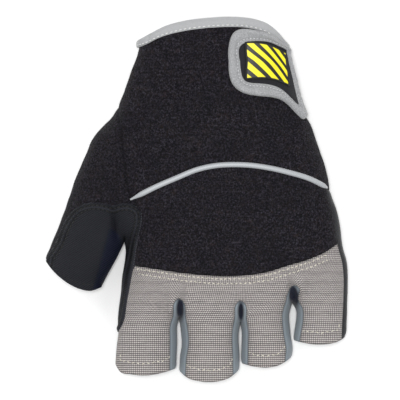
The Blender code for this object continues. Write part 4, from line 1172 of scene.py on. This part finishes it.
def sew(name, rows, thread, length, width, height, slant):
    """One piece with all the stitches of these rows. Each row holds points, runs and normals."""
    points = np.concatenate([row[0] for row in rows])
    runs = np.concatenate([row[1] for row in rows])
    ups = np.concatenate([row[2] for row in rows])
    seed = bpy.data.meshes.new(name + "_points")
    seed.from_pydata([tuple(p) for p in points], [], [])
    for label, data in (("run", runs), ("face_up", ups)):
        attribute = seed.attributes.new(label, "FLOAT_VECTOR", "POINT")
        attribute.data.foreach_set("vector", np.asarray(data, float).ravel())
    holder = bpy.data.objects.new(name + "_holder", seed)
    bpy.context.scene.collection.objects.link(holder)
    tree = stitch_tree()
    modifier = holder.modifiers.new("Stitches", "NODES")
    modifier.node_group = tree
    values = {"Length": length, "Width": width, "Height": height, "Slant": slant, "Thread": finish(thread)}
    for item in tree.interface.items_tree:
        if item.item_type == "SOCKET" and item.in_out == "INPUT" and item.name in values:
            modifier[item.identifier] = values[item.name]
    graph = bpy.context.evaluated_depsgraph_get()
    mesh = bpy.data.meshes.new_from_object(holder.evaluated_get(graph))
    bpy.data.objects.remove(holder, do_unlink=True)
    mesh.shade_smooth()
    if not mesh.polygons:
        raise RuntimeError(f"{name}: no stitches were made")
    made = bpy.data.objects.new(name, mesh)
    bpy.context.scene.collection.objects.link(made)
    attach(made, "root")
    return made


def to_plan(across_along):
    """(across, along) shares as x and y in metres."""
    shift = get_skin().shift
    places = np.asarray(across_along, float)
    return np.stack([places[:, 0] * PALM_WIDTH - shift[0], -places[:, 1] * GLOVE_LENGTH - shift[1]], axis=1)


def surface(names):
    """A ray target made of the named pieces."""
    key = "surface " + " ".join(names)
    if key not in STORE:
        points, faces = [], []
        for name in names:
            mesh = STORE["piece " + name].data
            start = len(points)
            points += [v.co.copy() for v in mesh.vertices]
            faces += [[start + v for v in p.vertices] for p in mesh.polygons]
        STORE[key] = BVHTree.FromPolygons(points, faces)
    return STORE[key]


def row_on(names, across_along, pitch, sink=0.0):
    """A row of stitches over the named pieces, below a line seen from above."""
    target = surface(names)
    plan = resample(to_plan(across_along), 0.0004)
    hits = [target.ray_cast(Vector((x, y, 0.2)), Vector((0, 0, -1)))[:2] for x, y in plan]
    hits = [(p, n) for p, n in hits if p is not None]
    line = np.array([tuple(p) + tuple(n) for p, n in hits])
    length = np.concatenate([[0.0], np.cumsum(np.linalg.norm(np.diff(line[:, :3], axis=0), axis=1))])
    at = np.arange(pitch / 2, length[-1], pitch)
    placed = np.stack([np.interp(at, length, line[:, i]) for i in range(6)], axis=1)
    ahead = np.stack([np.interp(at + 0.0006, length, line[:, i]) for i in range(3)], axis=1)
    behind = np.stack([np.interp(at - 0.0006, length, line[:, i]) for i in range(3)], axis=1)
    ups = unit(placed[:, 3:])
    return placed[:, :3] - ups * sink, unit(ahead - behind), ups


def shift_line(table, down_mm=0.0, over_mm=0.0):
    """An (across, along) line moved towards the fingers and towards the little finger."""
    return [(a + over_mm / 1000 / PALM_WIDTH, b + down_mm / 1000 / GLOVE_LENGTH) for a, b in table]


def inset(loop, distance):
    """A closed loop moved inwards by a distance."""
    run = unit(np.roll(loop, -1, axis=0) - np.roll(loop, 1, axis=0))
    return loop + np.stack([-run[:, 1], run[:, 0]], axis=1) * distance


# Property groups

def colour_property(name, description, default):
    return bpy.props.FloatVectorProperty(name=name, description=description, subtype="COLOR",
                                         default=default, min=0.0, max=1.0)


class GloveShape(bpy.types.PropertyGroup):
    """Sizes of the glove's trim and how finely its skin is laid out."""

    net_fineness: bpy.props.IntProperty(
        name="Net fineness", description="Quads of the skin for each column and row unit", default=5, min=1, max=8)
    binding_thickness: bpy.props.FloatProperty(
        name="Binding thickness", description="How far the cuff's tape stands over the velour",
        default=0.0011, unit="LENGTH", subtype="DISTANCE")
    piping_width: bpy.props.FloatProperty(
        name="Piping width", description="Width of the cord between the two back panels",
        default=0.0025, unit="LENGTH", subtype="DISTANCE")
    patch_thickness: bpy.props.FloatProperty(
        name="Patch thickness", description="How far the leather patch stands over the velour",
        default=0.0009, unit="LENGTH", subtype="DISTANCE")
    strap_edge: bpy.props.FloatProperty(
        name="Strap edge width", description="Width of the tape round the wrist strap's tab",
        default=0.0044, unit="LENGTH", subtype="DISTANCE")
    strap_thickness: bpy.props.FloatProperty(
        name="Strap thickness", description="Thickness of the strap at its taped edge",
        default=0.0028, unit="LENGTH", subtype="DISTANCE")
    badge_thickness: bpy.props.FloatProperty(
        name="Badge thickness", description="Thickness of the moulded badge on the strap",
        default=0.0009, unit="LENGTH", subtype="DISTANCE")


class GloveFabrics(bpy.types.PropertyGroup):
    """Colours of the glove's cloths, leathers and threads."""

    velour: colour_property("Velour", "Black velour of the back and thumb", (0.0135, 0.0125, 0.0165))
    velour_fleck: colour_property("Velour fleck", "Brownish flecks in the velour", (0.036, 0.025, 0.025))
    knuckle: colour_property("Knuckle weave", "Threads of the knuckle panel", (0.620, 0.574, 0.555))
    knuckle_gaps: colour_property("Knuckle gaps", "Gaps between the knuckle panel's threads", (0.050, 0.046, 0.050))
    fourchette: colour_property("Fourchettes", "Strips between the fingers", (0.225, 0.262, 0.288))
    leather: colour_property("Patch leather", "Leather patch of the thumb", (0.0120, 0.0128, 0.0165))
    # The lining's navy also serves as the painted shade in the hollows under the arches
    lining: colour_property("Lining", "Smooth navy cloth inside the thumb and under the arches", (0.0050, 0.0068, 0.0180))
    palm: colour_property("Palm leather", "Leather of the palm", (0.0110, 0.0115, 0.0140))
    tape: colour_property("Cuff tape", "Tape folded over the cuff's edge", (0.385, 0.392, 0.398))
    heather: colour_property("Strap tape", "Heather tape round the strap", (0.430, 0.435, 0.443))
    piping: colour_property("Piping", "Silver cord between the back panels", (0.400, 0.415, 0.430))
    strap: colour_property("Strap cloth", "Black cloth of the strap's tab", (0.016, 0.016, 0.020))
    badge: colour_property("Badge stripes", "Bright stripes of the badge", (0.93, 0.83, 0.02))
    badge_dark: colour_property("Badge ground", "Dark stripes of the badge", (0.012, 0.012, 0.012))
    cream_thread: colour_property("Cream thread", "Thread of the knuckle panel's rows", (0.62, 0.585, 0.50))
    dark_thread: colour_property("Dark thread", "Thread of the patch and the palm", (0.003, 0.003, 0.004))
    slate_thread: colour_property("Slate thread", "Thread at the patch's edge", (0.085, 0.085, 0.095))
    heather_thread: colour_property("Heather thread", "Thread of the strap's tape", (0.66, 0.67, 0.69))
    grey_thread: colour_property("Grey thread", "Thread of the cuff tape", (0.74, 0.74, 0.74))


# Operators

class GLOVE_OT_back_panels(bpy.types.Operator):
    """Builds the two velour panels of the back and the velour of the thumb"""

    bl_idname = "glove.back_panels"
    bl_label = "Back and thumb panels"

    def execute(self, context):
        for node, name in (("back_upper_panel", "upper_back_velour"), ("back_lower_panel", "lower_back_velour"),
                           ("thumb_panel", "thumb_velour")):
            piece = build_panel(node, name, 0.0020, finish("velour"), 0.0004, 0.0011, 0.0003, 0.0005)
            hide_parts(node)
        return {"FINISHED"}


class GLOVE_OT_knuckle_panel(bpy.types.Operator):
    """Builds the open-weave panel over the knuckles and finger stalls"""

    bl_idname = "glove.knuckle_panel"
    bl_label = "Knuckle panel"

    def execute(self, context):
        piece = build_panel("knuckle_panel", "knuckle_weave", 0.0014, finish("knuckle_knit"),
                            0.0005, 0.0010, 0.0003, 0.0004)
        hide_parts("knuckle_panel")
        return {"FINISHED"}


class GLOVE_OT_fourchettes(bpy.types.Operator):
    """Builds the three strips between the finger stalls"""

    bl_idname = "glove.fourchettes"
    bl_label = "Fourchettes"

    def execute(self, context):
        for left, right in zip(FINGERS, FINGERS[1:]):
            node = f"fourchette_{left}_{right}"
            piece = build_panel(node, f"strip_{left}_{right}", 0.0012, finish("fourchette_knit"),
                                0.0004, 0.0006, 0.0001, 0.0002)
            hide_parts(node)
        return {"FINISHED"}


class GLOVE_OT_palm_panel(bpy.types.Operator):
    """Builds the padded palm side"""

    bl_idname = "glove.palm_panel"
    bl_label = "Palm"

    def execute(self, context):
        piece = build_panel("palm_panel", "palm_side", 0.0030, finish("palm_leather"), 0.0006, 0.0014, 0.0002, 0.0004)
        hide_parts("palm_panel")
        return {"FINISHED"}


def loop_depth(places, loop, open_from):
    """Signed distance of places into a closed loop, in metres, measured to its drawn edges only."""
    ends = np.roll(loop, -1, axis=0)
    inside = np.zeros(len(places), bool)
    best = np.full(len(places), 1.0)
    for k, (a, b) in enumerate(zip(loop, ends)):
        cross = (a[1] > places[:, 1]) != (b[1] > places[:, 1])
        slope = (b[0] - a[0]) / (b[1] - a[1] if b[1] != a[1] else 1e-12)
        inside ^= cross & (places[:, 0] < a[0] + (places[:, 1] - a[1]) * slope)
        if k >= open_from:
            continue
        run = b - a
        t = np.clip(((places - a) @ run) / (run @ run), 0.0, 1.0)
        best = np.minimum(best, np.linalg.norm(places - (a + t[:, None] * run), axis=1))
    return np.where(inside, best, -best)


def clip_above(points, triangles, depth, extras):
    """The part of a triangle mesh where depth is above zero, cut cleanly along depth zero."""
    points, depth = list(points), list(depth)
    extras = [list(e) for e in extras]
    cuts = {}
    kept = []

    def cut(a, b):
        key = (min(a, b), max(a, b))
        if key not in cuts:
            t = depth[a] / (depth[a] - depth[b])
            cuts[key] = len(points)
            points.append(points[a] * (1 - t) + points[b] * t)
            depth.append(0.0)
            for extra in extras:
                extra.append(extra[a] * (1 - t) + extra[b] * t)
        return cuts[key]

    for tri in triangles.tolist():
        signs = [depth[c] > 0 for c in tri]
        if all(signs):
            kept.append(tri)
        elif any(signs):
            polygon = []
            for i in range(3):
                a, b = tri[i], tri[(i + 1) % 3]
                if signs[i]:
                    polygon.append(a)
                if signs[i] != signs[(i + 1) % 3]:
                    polygon.append(cut(a, b))
            kept += [[polygon[0], polygon[i], polygon[i + 1]] for i in range(1, len(polygon) - 1)]
    kept = np.array(kept)
    used, kept = np.unique(kept, return_inverse=True)
    return (np.array(points)[used], kept.reshape(-1, 3), np.array(depth)[used],
            [np.array(extra)[used] for extra in extras])


def side_of(points, line):
    """Signed distance of points from a line in plan, above zero to its left."""
    run = unit(line[1] - line[0])
    move = points[:, :2] - line[0]
    return run[0] * move[:, 1] - run[1] * move[:, 0]


class GLOVE_OT_thumb_patch(bpy.types.Operator):
    """Builds the leather patch sewn over the thumb, the web and the index finger's side"""

    bl_idname = "glove.thumb_patch"
    bl_label = "Thumb patch"

    def execute(self, context):
        skin = get_skin()
        thick = context.scene.glove_shape.patch_thickness
        loop = np.array(PATCH_LOOP)
        drawn = resample_open(loop[: PATCH_OPEN_FROM + 1])
        plan_loop = to_plan(np.concatenate([drawn, loop[PATCH_OPEN_FROM + 1 :]]))
        quads = skin.quads
        triangles = np.concatenate([quads[:, [0, 1, 2]], quads[:, [0, 2, 3]]])
        depth = loop_depth(skin.points[: skin.top_count, :2], plan_loop, len(drawn) - 1)
        near = (depth[triangles] > -0.003).any(axis=1)
        proper = (triangles[:, 0] != triangles[:, 1]) & (triangles[:, 1] != triangles[:, 2])
        proper &= triangles[:, 0] != triangles[:, 2]
        outside = distance_from(skin.points[: skin.top_count], skin.quads, skin.fixed, 12)
        extras = [skin.normals[: skin.top_count], skin.cloth[: skin.top_count], outside]
        points, faces, depth, (normals, cloth, outside) = clip_above(
            skin.points[: skin.top_count], triangles[near & proper], depth, extras)
        normals = unit(normals)
        from_edge = np.minimum(depth, outside + 0.0002)
        right_of = side_of(points, to_plan(LINING_EDGE))
        below = side_of(points, to_plan(LINING_TOP[::-1]))
        gap = to_plan([(-0.512, 0.6), (-0.494, 0.6)])[:, 0]
        lining = ease(right_of, -0.0008, 0.0014) * ease(below, -0.0004, 0.0012)
        lining *= 1 - ease(points[:, 0], gap[0], gap[1])
        share = np.clip(from_edge / 0.0009, 0.0, 1.0)
        lift = (thick + 0.0004) * np.sqrt(1 - (1 - share) ** 2)
        for row in (0.0016, 0.0032):
            lift -= 0.00035 * np.exp(-(((depth - row) / 0.0005) ** 2))
        lift += wrinkle(points, 0.012, 0.0005, 3) * ease(from_edge, 0.0, 0.004)
        outer = points + normals * lift[:, None]
        inner = points - normals * 0.0004
        rim = rim_of(faces)
        count = len(points)
        shell = faces.tolist() + [[count + c for c in reversed(face)] for face in faces.tolist()]
        shell += [[b, a, count + a, count + b] for a, b in rim.tolist()]
        piece = make_piece("thumb_leather", np.concatenate([outer, inner]), shell, finish("leather"),
                           np.concatenate([cloth] * 2),
                           {"seam": np.concatenate([from_edge] * 2), "shade": np.concatenate([lining] * 2)})
        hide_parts("thumb_patch")
        return {"FINISHED"}


def resample_open(points):
    """An open line through the points with smooth corners, as close points."""
    points = np.asarray(points, float)
    t = np.arange(len(points))
    fine = np.linspace(0, len(points) - 1, (len(points) - 1) * 8 + 1)
    return np.stack([curve_through(np.stack([t, points[:, i]], axis=1))(fine) for i in range(2)], axis=1)


class GLOVE_OT_cuff_binding(bpy.types.Operator):
    """Builds the tape folded over the cuff's edge"""

    bl_idname = "glove.cuff_binding"
    bl_label = "Cuff binding"

    def execute(self, context):
        skin = get_skin()
        thick = context.scene.glove_shape.binding_thickness
        fine = skin.fine
        rows = []
        for row in range(fine + 1):
            over = np.concatenate([skin.ids["index"][row]] + [skin.ids[f][row, 1:] for f in FINGERS[1:]])
            rows.append(np.concatenate([over, skin.under[over[-2:0:-1]]]))
        rows = np.array(rows)
        shares = np.linspace(0.0, 1.0, fine + 1)
        rise = thick * (1 - np.maximum(np.abs(shares * 2 - 1) - 0.55, 0.0) ** 2 / 0.45**2 * 0.6)
        rise -= 0.0002 * np.exp(-(((shares - 0.72) / 0.12) ** 2))
        ripple = np.array([noise.noise(Vector(p) / 0.006) for p in skin.points[rows[0]]]) * 0.00025
        lap = side_of(skin.points[rows[0]], to_plan(TAPE_LAP))
        ripple += 0.0006 * ease(lap, -0.0002, 0.0006) - 0.0004 * np.exp(-((lap / 0.0006) ** 2))
        outer = [skin.points[rows[k]] + skin.normals[rows[k]] * (rise[k] + ripple)[:, None]
                 for k in range(fine, -1, -1)]
        way = unit(skin.points[rows[1]] - skin.points[rows[0]])
        nose = [skin.points[rows[0]] - way * thick * 0.45 + skin.normals[rows[0]] * (thick * a)[..., None]
                for a in (np.full(len(rows[0]), 0.3), np.full(len(rows[0]), -1.2))]
        low = skin.wall_at(rows, 0.0024) + 0.0003
        inner = [skin.points[rows[k]] - skin.normals[rows[k]] * (low[k] + 0.0008)[:, None]
                 for k in range(fine + 1)]
        foot = [skin.points[rows[fine]] - skin.normals[rows[fine]] * low[fine][:, None]]
        slot = [skin.points[rows[1]] - skin.normals[rows[1]] * low[1][:, None],
                skin.points[rows[1]] - skin.normals[rows[1]] * 0.0002]
        hem = [skin.points[rows[fine]] - skin.normals[rows[fine]] * 0.0003]
        lines = hem + outer + nose + inner + foot + slot
        sections = np.stack(lines, axis=1)
        count, sides = sections.shape[:2]
        run = np.linalg.norm(np.roll(skin.points[rows[0]], -1, axis=0) - skin.points[rows[0]], axis=1)
        round_way = np.concatenate([[0.0], np.cumsum(run)[:-1]])
        leg = np.concatenate([[0.0], np.cumsum(np.linalg.norm(np.diff(sections[0], axis=0), axis=1))])
        cloth = np.stack(np.broadcast_arrays(round_way[:, None], leg[None]), axis=-1).reshape(-1, 2)
        piece = make_piece("cuff_tape", sections.reshape(-1, 3), tube_faces(count, sides, True),
                           finish("binding"), cloth)
        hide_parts("cuff_binding")
        row = int(round(0.72 * fine))
        line = skin.points[rows[row]] + skin.normals[rows[row]] * (rise[row] + ripple)[:, None]
        STORE["cuff row"] = (line, skin.normals[rows[row]])
        return {"FINISHED"}


class GLOVE_OT_piping(bpy.types.Operator):
    """Builds the silver cord in the seam between the two back panels"""

    bl_idname = "glove.piping"
    bl_label = "Piping"

    def execute(self, context):
        skin = get_skin()
        half = context.scene.glove_shape.piping_width / 2
        row = ROW_OF["piping"] * skin.fine
        over = np.concatenate([skin.ids["index"][row]] + [skin.ids[f][row, 1:] for f in FINGERS[1:]])
        over = over[: -skin.fine]
        points, ups = skin.points[over], skin.normals[over]
        run = unit(np.gradient(points, axis=0))
        side = unit(np.cross(run, ups))
        length = np.concatenate([[0.0], np.cumsum(np.linalg.norm(np.diff(points, axis=0), axis=1))])
        start = ease(length, -0.0005, 0.007)
        end = ease(length[-1] - length, -0.0005, 0.004)
        size = 0.35 + 0.65 * np.minimum(start, end)
        angles = np.linspace(0, 2 * math.pi, 14, endpoint=False)
        sections = np.stack([
            points + side * (half * size * math.cos(a))[:, None]
            + ups * (0.0003 + half * 0.95 * size * math.sin(a))[:, None] for a in angles], axis=1)
        cloth = np.stack(np.broadcast_arrays(length[:, None], (angles * half)[None]), axis=-1).reshape(-1, 2)
        piece = make_piece("piping_cord", sections.reshape(-1, 3), tube_faces(len(points), 14, False),
                           finish("piping"), cloth)
        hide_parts("piping")
        return {"FINISHED"}


def strap_lift(down):
    """How high the strap's underside stands over the skin: it climbs over the cuff's binding."""
    return 0.0005 + 0.0013 * (1 - ease(down, 0.0047, 0.0080))


def raised(skin, places, heights):
    """Points over the wrist at places (reach, down), so high over the strap's seat."""
    places = np.asarray(places, float)
    points, ups = skin.at(places)
    return points + ups * (strap_lift(places[:, 1]) + heights)[:, None], ups


def strap_loops():
    """The tape's outer and inner edges as smooth matched loops of (reach, down), in metres."""
    pair = np.concatenate([np.array(STRAP_OUTER), np.array(STRAP_INNER)], axis=1) / 1000
    pair = resample(smooth_loop(pair, 3), 0.0008, closed=True)
    return pair[:, :2], pair[:, 2:]


class GLOVE_OT_wrist_strap(bpy.types.Operator):
    """Builds the wrist strap: its black tab, the tape round it and the badge"""

    bl_idname = "glove.wrist_strap"
    bl_label = "Wrist strap"

    def execute(self, context):
        skin = get_skin()
        shape = context.scene.glove_shape
        outer, inner = strap_loops()
        self.build_tape(skin, outer, inner, shape)
        self.build_tab(skin, outer, inner, shape)
        self.build_badge(skin, shape)
        return {"FINISHED"}

    def build_tape(self, skin, outer, inner, shape):
        """The tape round the tab: full at its outer edge, and pulled down by its stitches."""
        thick = shape.strap_thickness
        profile = [(0.00, 0.02), (0.00, 0.30), (0.03, 0.62), (0.10, 0.84), (0.22, 0.97), (0.38, 1.00),
                   (0.52, 0.97), (0.64, 0.89), (0.72, 0.74), (0.76, 0.67), (0.80, 0.72), (0.88, 0.86),
                   (0.96, 0.83), (1.00, 0.66), (1.00, 0.30), (0.98, 0.02)]
        count = len(outer)
        pucker = np.array([noise.noise(Vector((r * 420, d * 420, 0.0))) for r, d in outer])
        lines, widths = [], []
        for into, high in profile:
            places = outer + (inner - outer) * into
            uneven = 0.0005 * pucker * high * math.sin(math.pi * min(into * 1.1, 1.0))
            lines.append(raised(skin, places, thick * high + uneven)[0])
        sections = np.stack(lines[::-1], axis=1)
        run = np.linalg.norm(np.roll(outer, -1, axis=0) - outer, axis=1)
        round_way = np.concatenate([[0.0], np.cumsum(run)[:-1]])
        leg = np.array([into for into, _ in profile[::-1]])
        width = np.linalg.norm(inner - outer, axis=1)
        cloth = np.stack(np.broadcast_arrays(round_way[:, None], width[:, None] * leg[None]), axis=-1)
        faces = [face[::-1] for face in tube_faces(count, len(profile), True)]
        piece = make_piece("strap_tape", sections.reshape(-1, 3), faces, finish("heather"),
                           cloth.reshape(-1, 2))
        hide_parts("strap_binding")
        line, ups = raised(skin, outer + (inner - outer) * 0.76, np.full(count, thick * 0.69))
        STORE["strap row"] = (line, ups)

    def build_tab(self, skin, outer, inner, shape):
        """The black tab inside the tape, crowned a little between its edges."""
        ring = inner + (outer - inner) * 0.08
        centre = ring.mean(axis=0)
        shares = np.linspace(1.0, 0.12, 22)
        count = len(ring)
        thick = shape.strap_thickness * 0.70
        lines, cloth = [], []
        for share in shares:
            places = centre + (ring - centre) * share
            crown = thick + 0.0004 * (1 - share**2)
            lines.append(raised(skin, places, np.full(count, crown))[0])
            cloth.append(places)
        tip, _ = raised(skin, [centre], np.array([thick + 0.0004]))
        below = [raised(skin, ring, np.full(count, 0.0))[0]]
        middle, _ = raised(skin, [centre], np.array([0.0]))
        points = np.concatenate(lines + [tip] + below + [middle])
        cloth = np.concatenate(cloth + [[centre]] + [ring] + [[centre]])
        faces = []
        for k in range(len(shares) - 1):
            for i in range(count):
                j = (i + 1) % count
                faces.append([k * count + i, (k + 1) * count + i, (k + 1) * count + j, k * count + j])
        top, base = len(shares) * count, len(shares) * count + 1
        for i in range(count):
            j = (i + 1) % count
            faces.append([(len(shares) - 1) * count + i, top, (len(shares) - 1) * count + j])
            faces.append([i, j, base + j, base + i])
            faces.append([base + i, base + j, base + count])
        faces = [face[::-1] for face in faces]
        piece = make_piece("strap_cloth", points, faces, finish("strap_core"), cloth)
        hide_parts("strap_tab")

    def build_badge(self, skin, shape):
        """The badge: a thin moulded plate with rounded corners and a sunk face."""
        steps = 48
        a, b, c, d = (np.array(corner) / 1000 for corner in BADGE_CORNERS)
        low = shape.strap_thickness * 0.70 + 0.0004
        s, t = np.meshgrid(np.linspace(-1, 1, steps + 1), np.linspace(-1, 1, steps + 1), indexing="ij")
        round_s = s * np.sqrt(1 - 0.05 * t**8)
        round_t = t * np.sqrt(1 - 0.05 * s**8)
        u, v = ((BADGE_MARGIN * way[..., None] + 1) / 2 for way in (round_s, round_t))
        places = ((1 - u) * (1 - v) * a + u * (1 - v) * b + (1 - u) * v * c + u * v * d).reshape(-1, 2)
        edge = 1 - np.maximum(np.abs(s), np.abs(t)).ravel()
        high = shape.badge_thickness * (0.55 + 0.45 * ease(edge, 0.0, 0.03))
        high = high - 0.25 * shape.badge_thickness * ease(edge, 0.05, 0.08)
        top, _ = raised(skin, places, low + high)
        bottom, _ = raised(skin, places, np.full(len(places), low - 0.0007))
        count, side = len(places), steps + 1
        faces = []
        for i in range(steps):
            for j in range(steps):
                quad = [i * side + j, (i + 1) * side + j, (i + 1) * side + j + 1, i * side + j + 1]
                faces.append(quad)
                faces.append([count + k for k in reversed(quad)])
        rim = [j for j in range(side)] + [i * side + steps for i in range(1, side)]
        rim += [steps * side + j for j in range(steps - 1, -1, -1)] + [i * side for i in range(steps - 1, 0, -1)]
        faces += [[p, q, count + q, count + p] for p, q in zip(rim, rim[1:] + rim[:1])]
        cloth = np.stack([round_s.ravel(), round_t.ravel()], axis=1)
        piece = make_piece("badge_plate", np.concatenate([top, bottom]), faces, finish("badge"),
                           np.concatenate([cloth, cloth]))
        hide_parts("strap_badge")


def loop_row(line, ups, pitch, start=0.0, end=1.0):
    """Stitches along a closed line, between two shares of its length."""
    closed = np.concatenate([line, line[:1]])
    up_closed = np.concatenate([ups, ups[:1]])
    length = np.concatenate([[0.0], np.cumsum(np.linalg.norm(np.diff(closed, axis=0), axis=1))])
    at = np.arange(start * length[-1] + pitch / 2, end * length[-1], pitch)
    points, ahead, behind, normals = (
        np.stack([np.interp(at + step, length, data[:, i]) for i in range(3)], axis=1)
        for data, step in ((closed, 0.0), (closed, 0.0006), (closed, -0.0006), (up_closed, 0.0)))
    return points, unit(ahead - behind), unit(normals)


class GLOVE_OT_stitching(bpy.types.Operator):
    """Sews the rows of stitches on the knuckle panel, hems, patch, cuff and strap"""

    bl_idname = "glove.stitching"
    bl_label = "Stitching"

    def execute(self, context):
        knuckle = ROW_LINES["knuckle"][1:-1]
        fabric = ["knuckle_weave"]
        rows = [row_on(fabric, shift_line(knuckle, 1.3, 0.5), 0.0021),
                row_on(fabric, shift_line(knuckle, 3.6, 1.0), 0.0021)]
        for finger in FINGERS:
            hem = [(a, b) for a, b in FINGER_ENDS[finger]]
            trimmed = [(hem[0][0] + 0.028, hem[0][1])] + hem[1:-1] + [(hem[-1][0] - 0.030, hem[-1][1])]
            rows.append(row_on(fabric, shift_line(trimmed, -5.4), 0.0024))
        for number, slant in enumerate((22, -22)):
            picked = [[part[number::2] for part in row] for row in rows]
            sew(f"cream_stitches_{number + 1}", picked, "cream_thread", 0.0016, THREAD, 0.0005,
                math.radians(slant))
        plan = to_plan(resample_open(PATCH_LOOP[: PATCH_OPEN_FROM + 1]))
        run = unit(np.gradient(plan, axis=0))
        into = np.stack([run[:, 1], -run[:, 0]], axis=1)
        patch = ["thumb_leather"]
        corner = PATCH_CORNER * 8
        rows = [self.row_from_plan(patch, (plan + into * depth)[6:corner], 0.0021) for depth in (0.0016, 0.0032)]
        rows.append(row_on(patch, THUMB_END_ROW, 0.0021))
        sew("patch_stitches", rows, "dark_thread", 0.0014, 0.0008, 0.0005, 0.0)
        rim = [self.row_from_plan(patch, (plan + into * 0.0005)[16 * 8 :], 0.0012)]
        sew("patch_edge_stitches", rim, "slate_thread", 0.0005, 0.0003, 0.0003, 0.0)
        line, ups = STORE["cuff row"]
        cuff = [loop_row(line, ups, 0.0022)]
        sew("cuff_stitches", cuff, "grey_thread", 0.0014, 0.0005, 0.0004, 0.0)
        line, ups = STORE["strap row"]
        strap = [loop_row(line, ups, 0.0016)]
        sew("strap_stitches", strap, "heather_thread", 0.0009, 0.0004, 0.0004, 0.0)
        return {"FINISHED"}

    def row_from_plan(self, names, plan, pitch):
        shift = get_skin().shift
        shares = np.stack([(plan[:, 0] + shift[0]) / PALM_WIDTH, -(plan[:, 1] + shift[1]) / GLOVE_LENGTH], axis=1)
        return row_on(names, shares, pitch)


class GLOVE_OT_stage(bpy.types.Operator):
    """Builds the pale floor, the soft lights and the camera"""

    bl_idname = "glove.stage"
    bl_label = "Stage"

    def execute(self, context):
        scene = context.scene
        mesh = bpy.data.meshes.new("floor")
        mesh.from_pydata([(-3, -3, 0), (3, -3, 0), (3, 3, 0), (-3, 3, 0)], [], [(0, 1, 2, 3)])
        material, graph, shader, place, _ = material_base("floor_paint", 0.9, specular=0.1)
        shade = graph.noise(place, 3.0, 2.0)
        graph.put(shader.inputs["Base Color"], graph.mix(shade, (0.965, 0.965, 0.965, 1), (0.985, 0.985, 0.985, 1)))
        mesh.materials.append(material)
        floor = bpy.data.objects.new("floor", mesh)
        scene.collection.objects.link(floor)
        sun = bpy.data.lights.new("overhead_light", "SUN")
        sun.energy = 1.95
        sun.angle = math.radians(9)
        overhead = bpy.data.objects.new("overhead_light", sun)
        overhead.rotation_euler = (math.radians(-0.5), math.radians(-1.0), 0.0)
        overhead.location = (0.0, 0.0, 1.0)
        scene.collection.objects.link(overhead)
        for name, place, size, power in (
            ("key_light", (-0.6, 0.7, 1.2), 0.9, 5.0),
            ("fill_light", (0.8, -0.6, 1.0), 0.9, 3.0),
        ):
            light = bpy.data.lights.new(name, "AREA")
            light.shape = "DISK"
            light.size = size
            light.energy = power
            lamp = bpy.data.objects.new(name, light)
            lamp.location = place
            lamp.rotation_euler = (-Vector(place)).to_track_quat("-Z", "Y").to_euler()
            scene.collection.objects.link(lamp)
        world = bpy.data.worlds.new("studio")
        world.use_nodes = True
        background = world.node_tree.nodes["Background"]
        background.inputs["Color"].default_value = (1.0, 1.0, 1.0, 1.0)
        background.inputs["Strength"].default_value = 0.46
        scene.world = world
        scene.view_settings.view_transform = "Standard"
        camera = bpy.data.cameras.new("camera")
        camera.sensor_width = 36.0
        distance, view_width = 7.0, 0.185
        camera.lens = camera.sensor_width * (distance - 0.015) / view_width
        eye = bpy.data.objects.new("camera", camera)
        eye.location = (0.0016, 0.0, distance)
        scene.collection.objects.link(eye)
        scene.camera = eye
        return {"FINISHED"}


class GLOVE_PT_sidebar(bpy.types.Panel):
    """Lists the glove's sizes, colours and pieces"""

    bl_idname = "GLOVE_PT_sidebar"
    bl_label = "Padded work glove"
    bl_space_type = "VIEW_3D"
    bl_region_type = "UI"
    bl_category = "Glove"

    def draw(self, context):
        for group in (context.scene.glove_shape, context.scene.glove_fabrics):
            box = self.layout.box()
            for name in group.__annotations__:
                box.prop(group, name)
        for operator in PIECES:
            self.layout.operator(operator.bl_idname, text=operator.bl_label)


PIECES = [
    GLOVE_OT_back_panels, GLOVE_OT_knuckle_panel, GLOVE_OT_fourchettes, GLOVE_OT_palm_panel,
    GLOVE_OT_thumb_patch, GLOVE_OT_cuff_binding, GLOVE_OT_piping, GLOVE_OT_wrist_strap,
    GLOVE_OT_stitching, GLOVE_OT_stage,
]
CLASSES = [GloveShape, GloveFabrics, *PIECES, GLOVE_PT_sidebar]


def register():
    for item in CLASSES:
        bpy.utils.register_class(item)
    bpy.types.Scene.glove_shape = bpy.props.PointerProperty(type=GloveShape)
    bpy.types.Scene.glove_fabrics = bpy.props.PointerProperty(type=GloveFabrics)


def unregister():
    del bpy.types.Scene.glove_fabrics
    del bpy.types.Scene.glove_shape
    for item in reversed(CLASSES):
        bpy.utils.unregister_class(item)


def main():
    register()
    for operator in PIECES:
        group, call = operator.bl_idname.split(".")
        getattr(getattr(bpy.ops, group), call)()


if __name__ == "__main__":
    main()
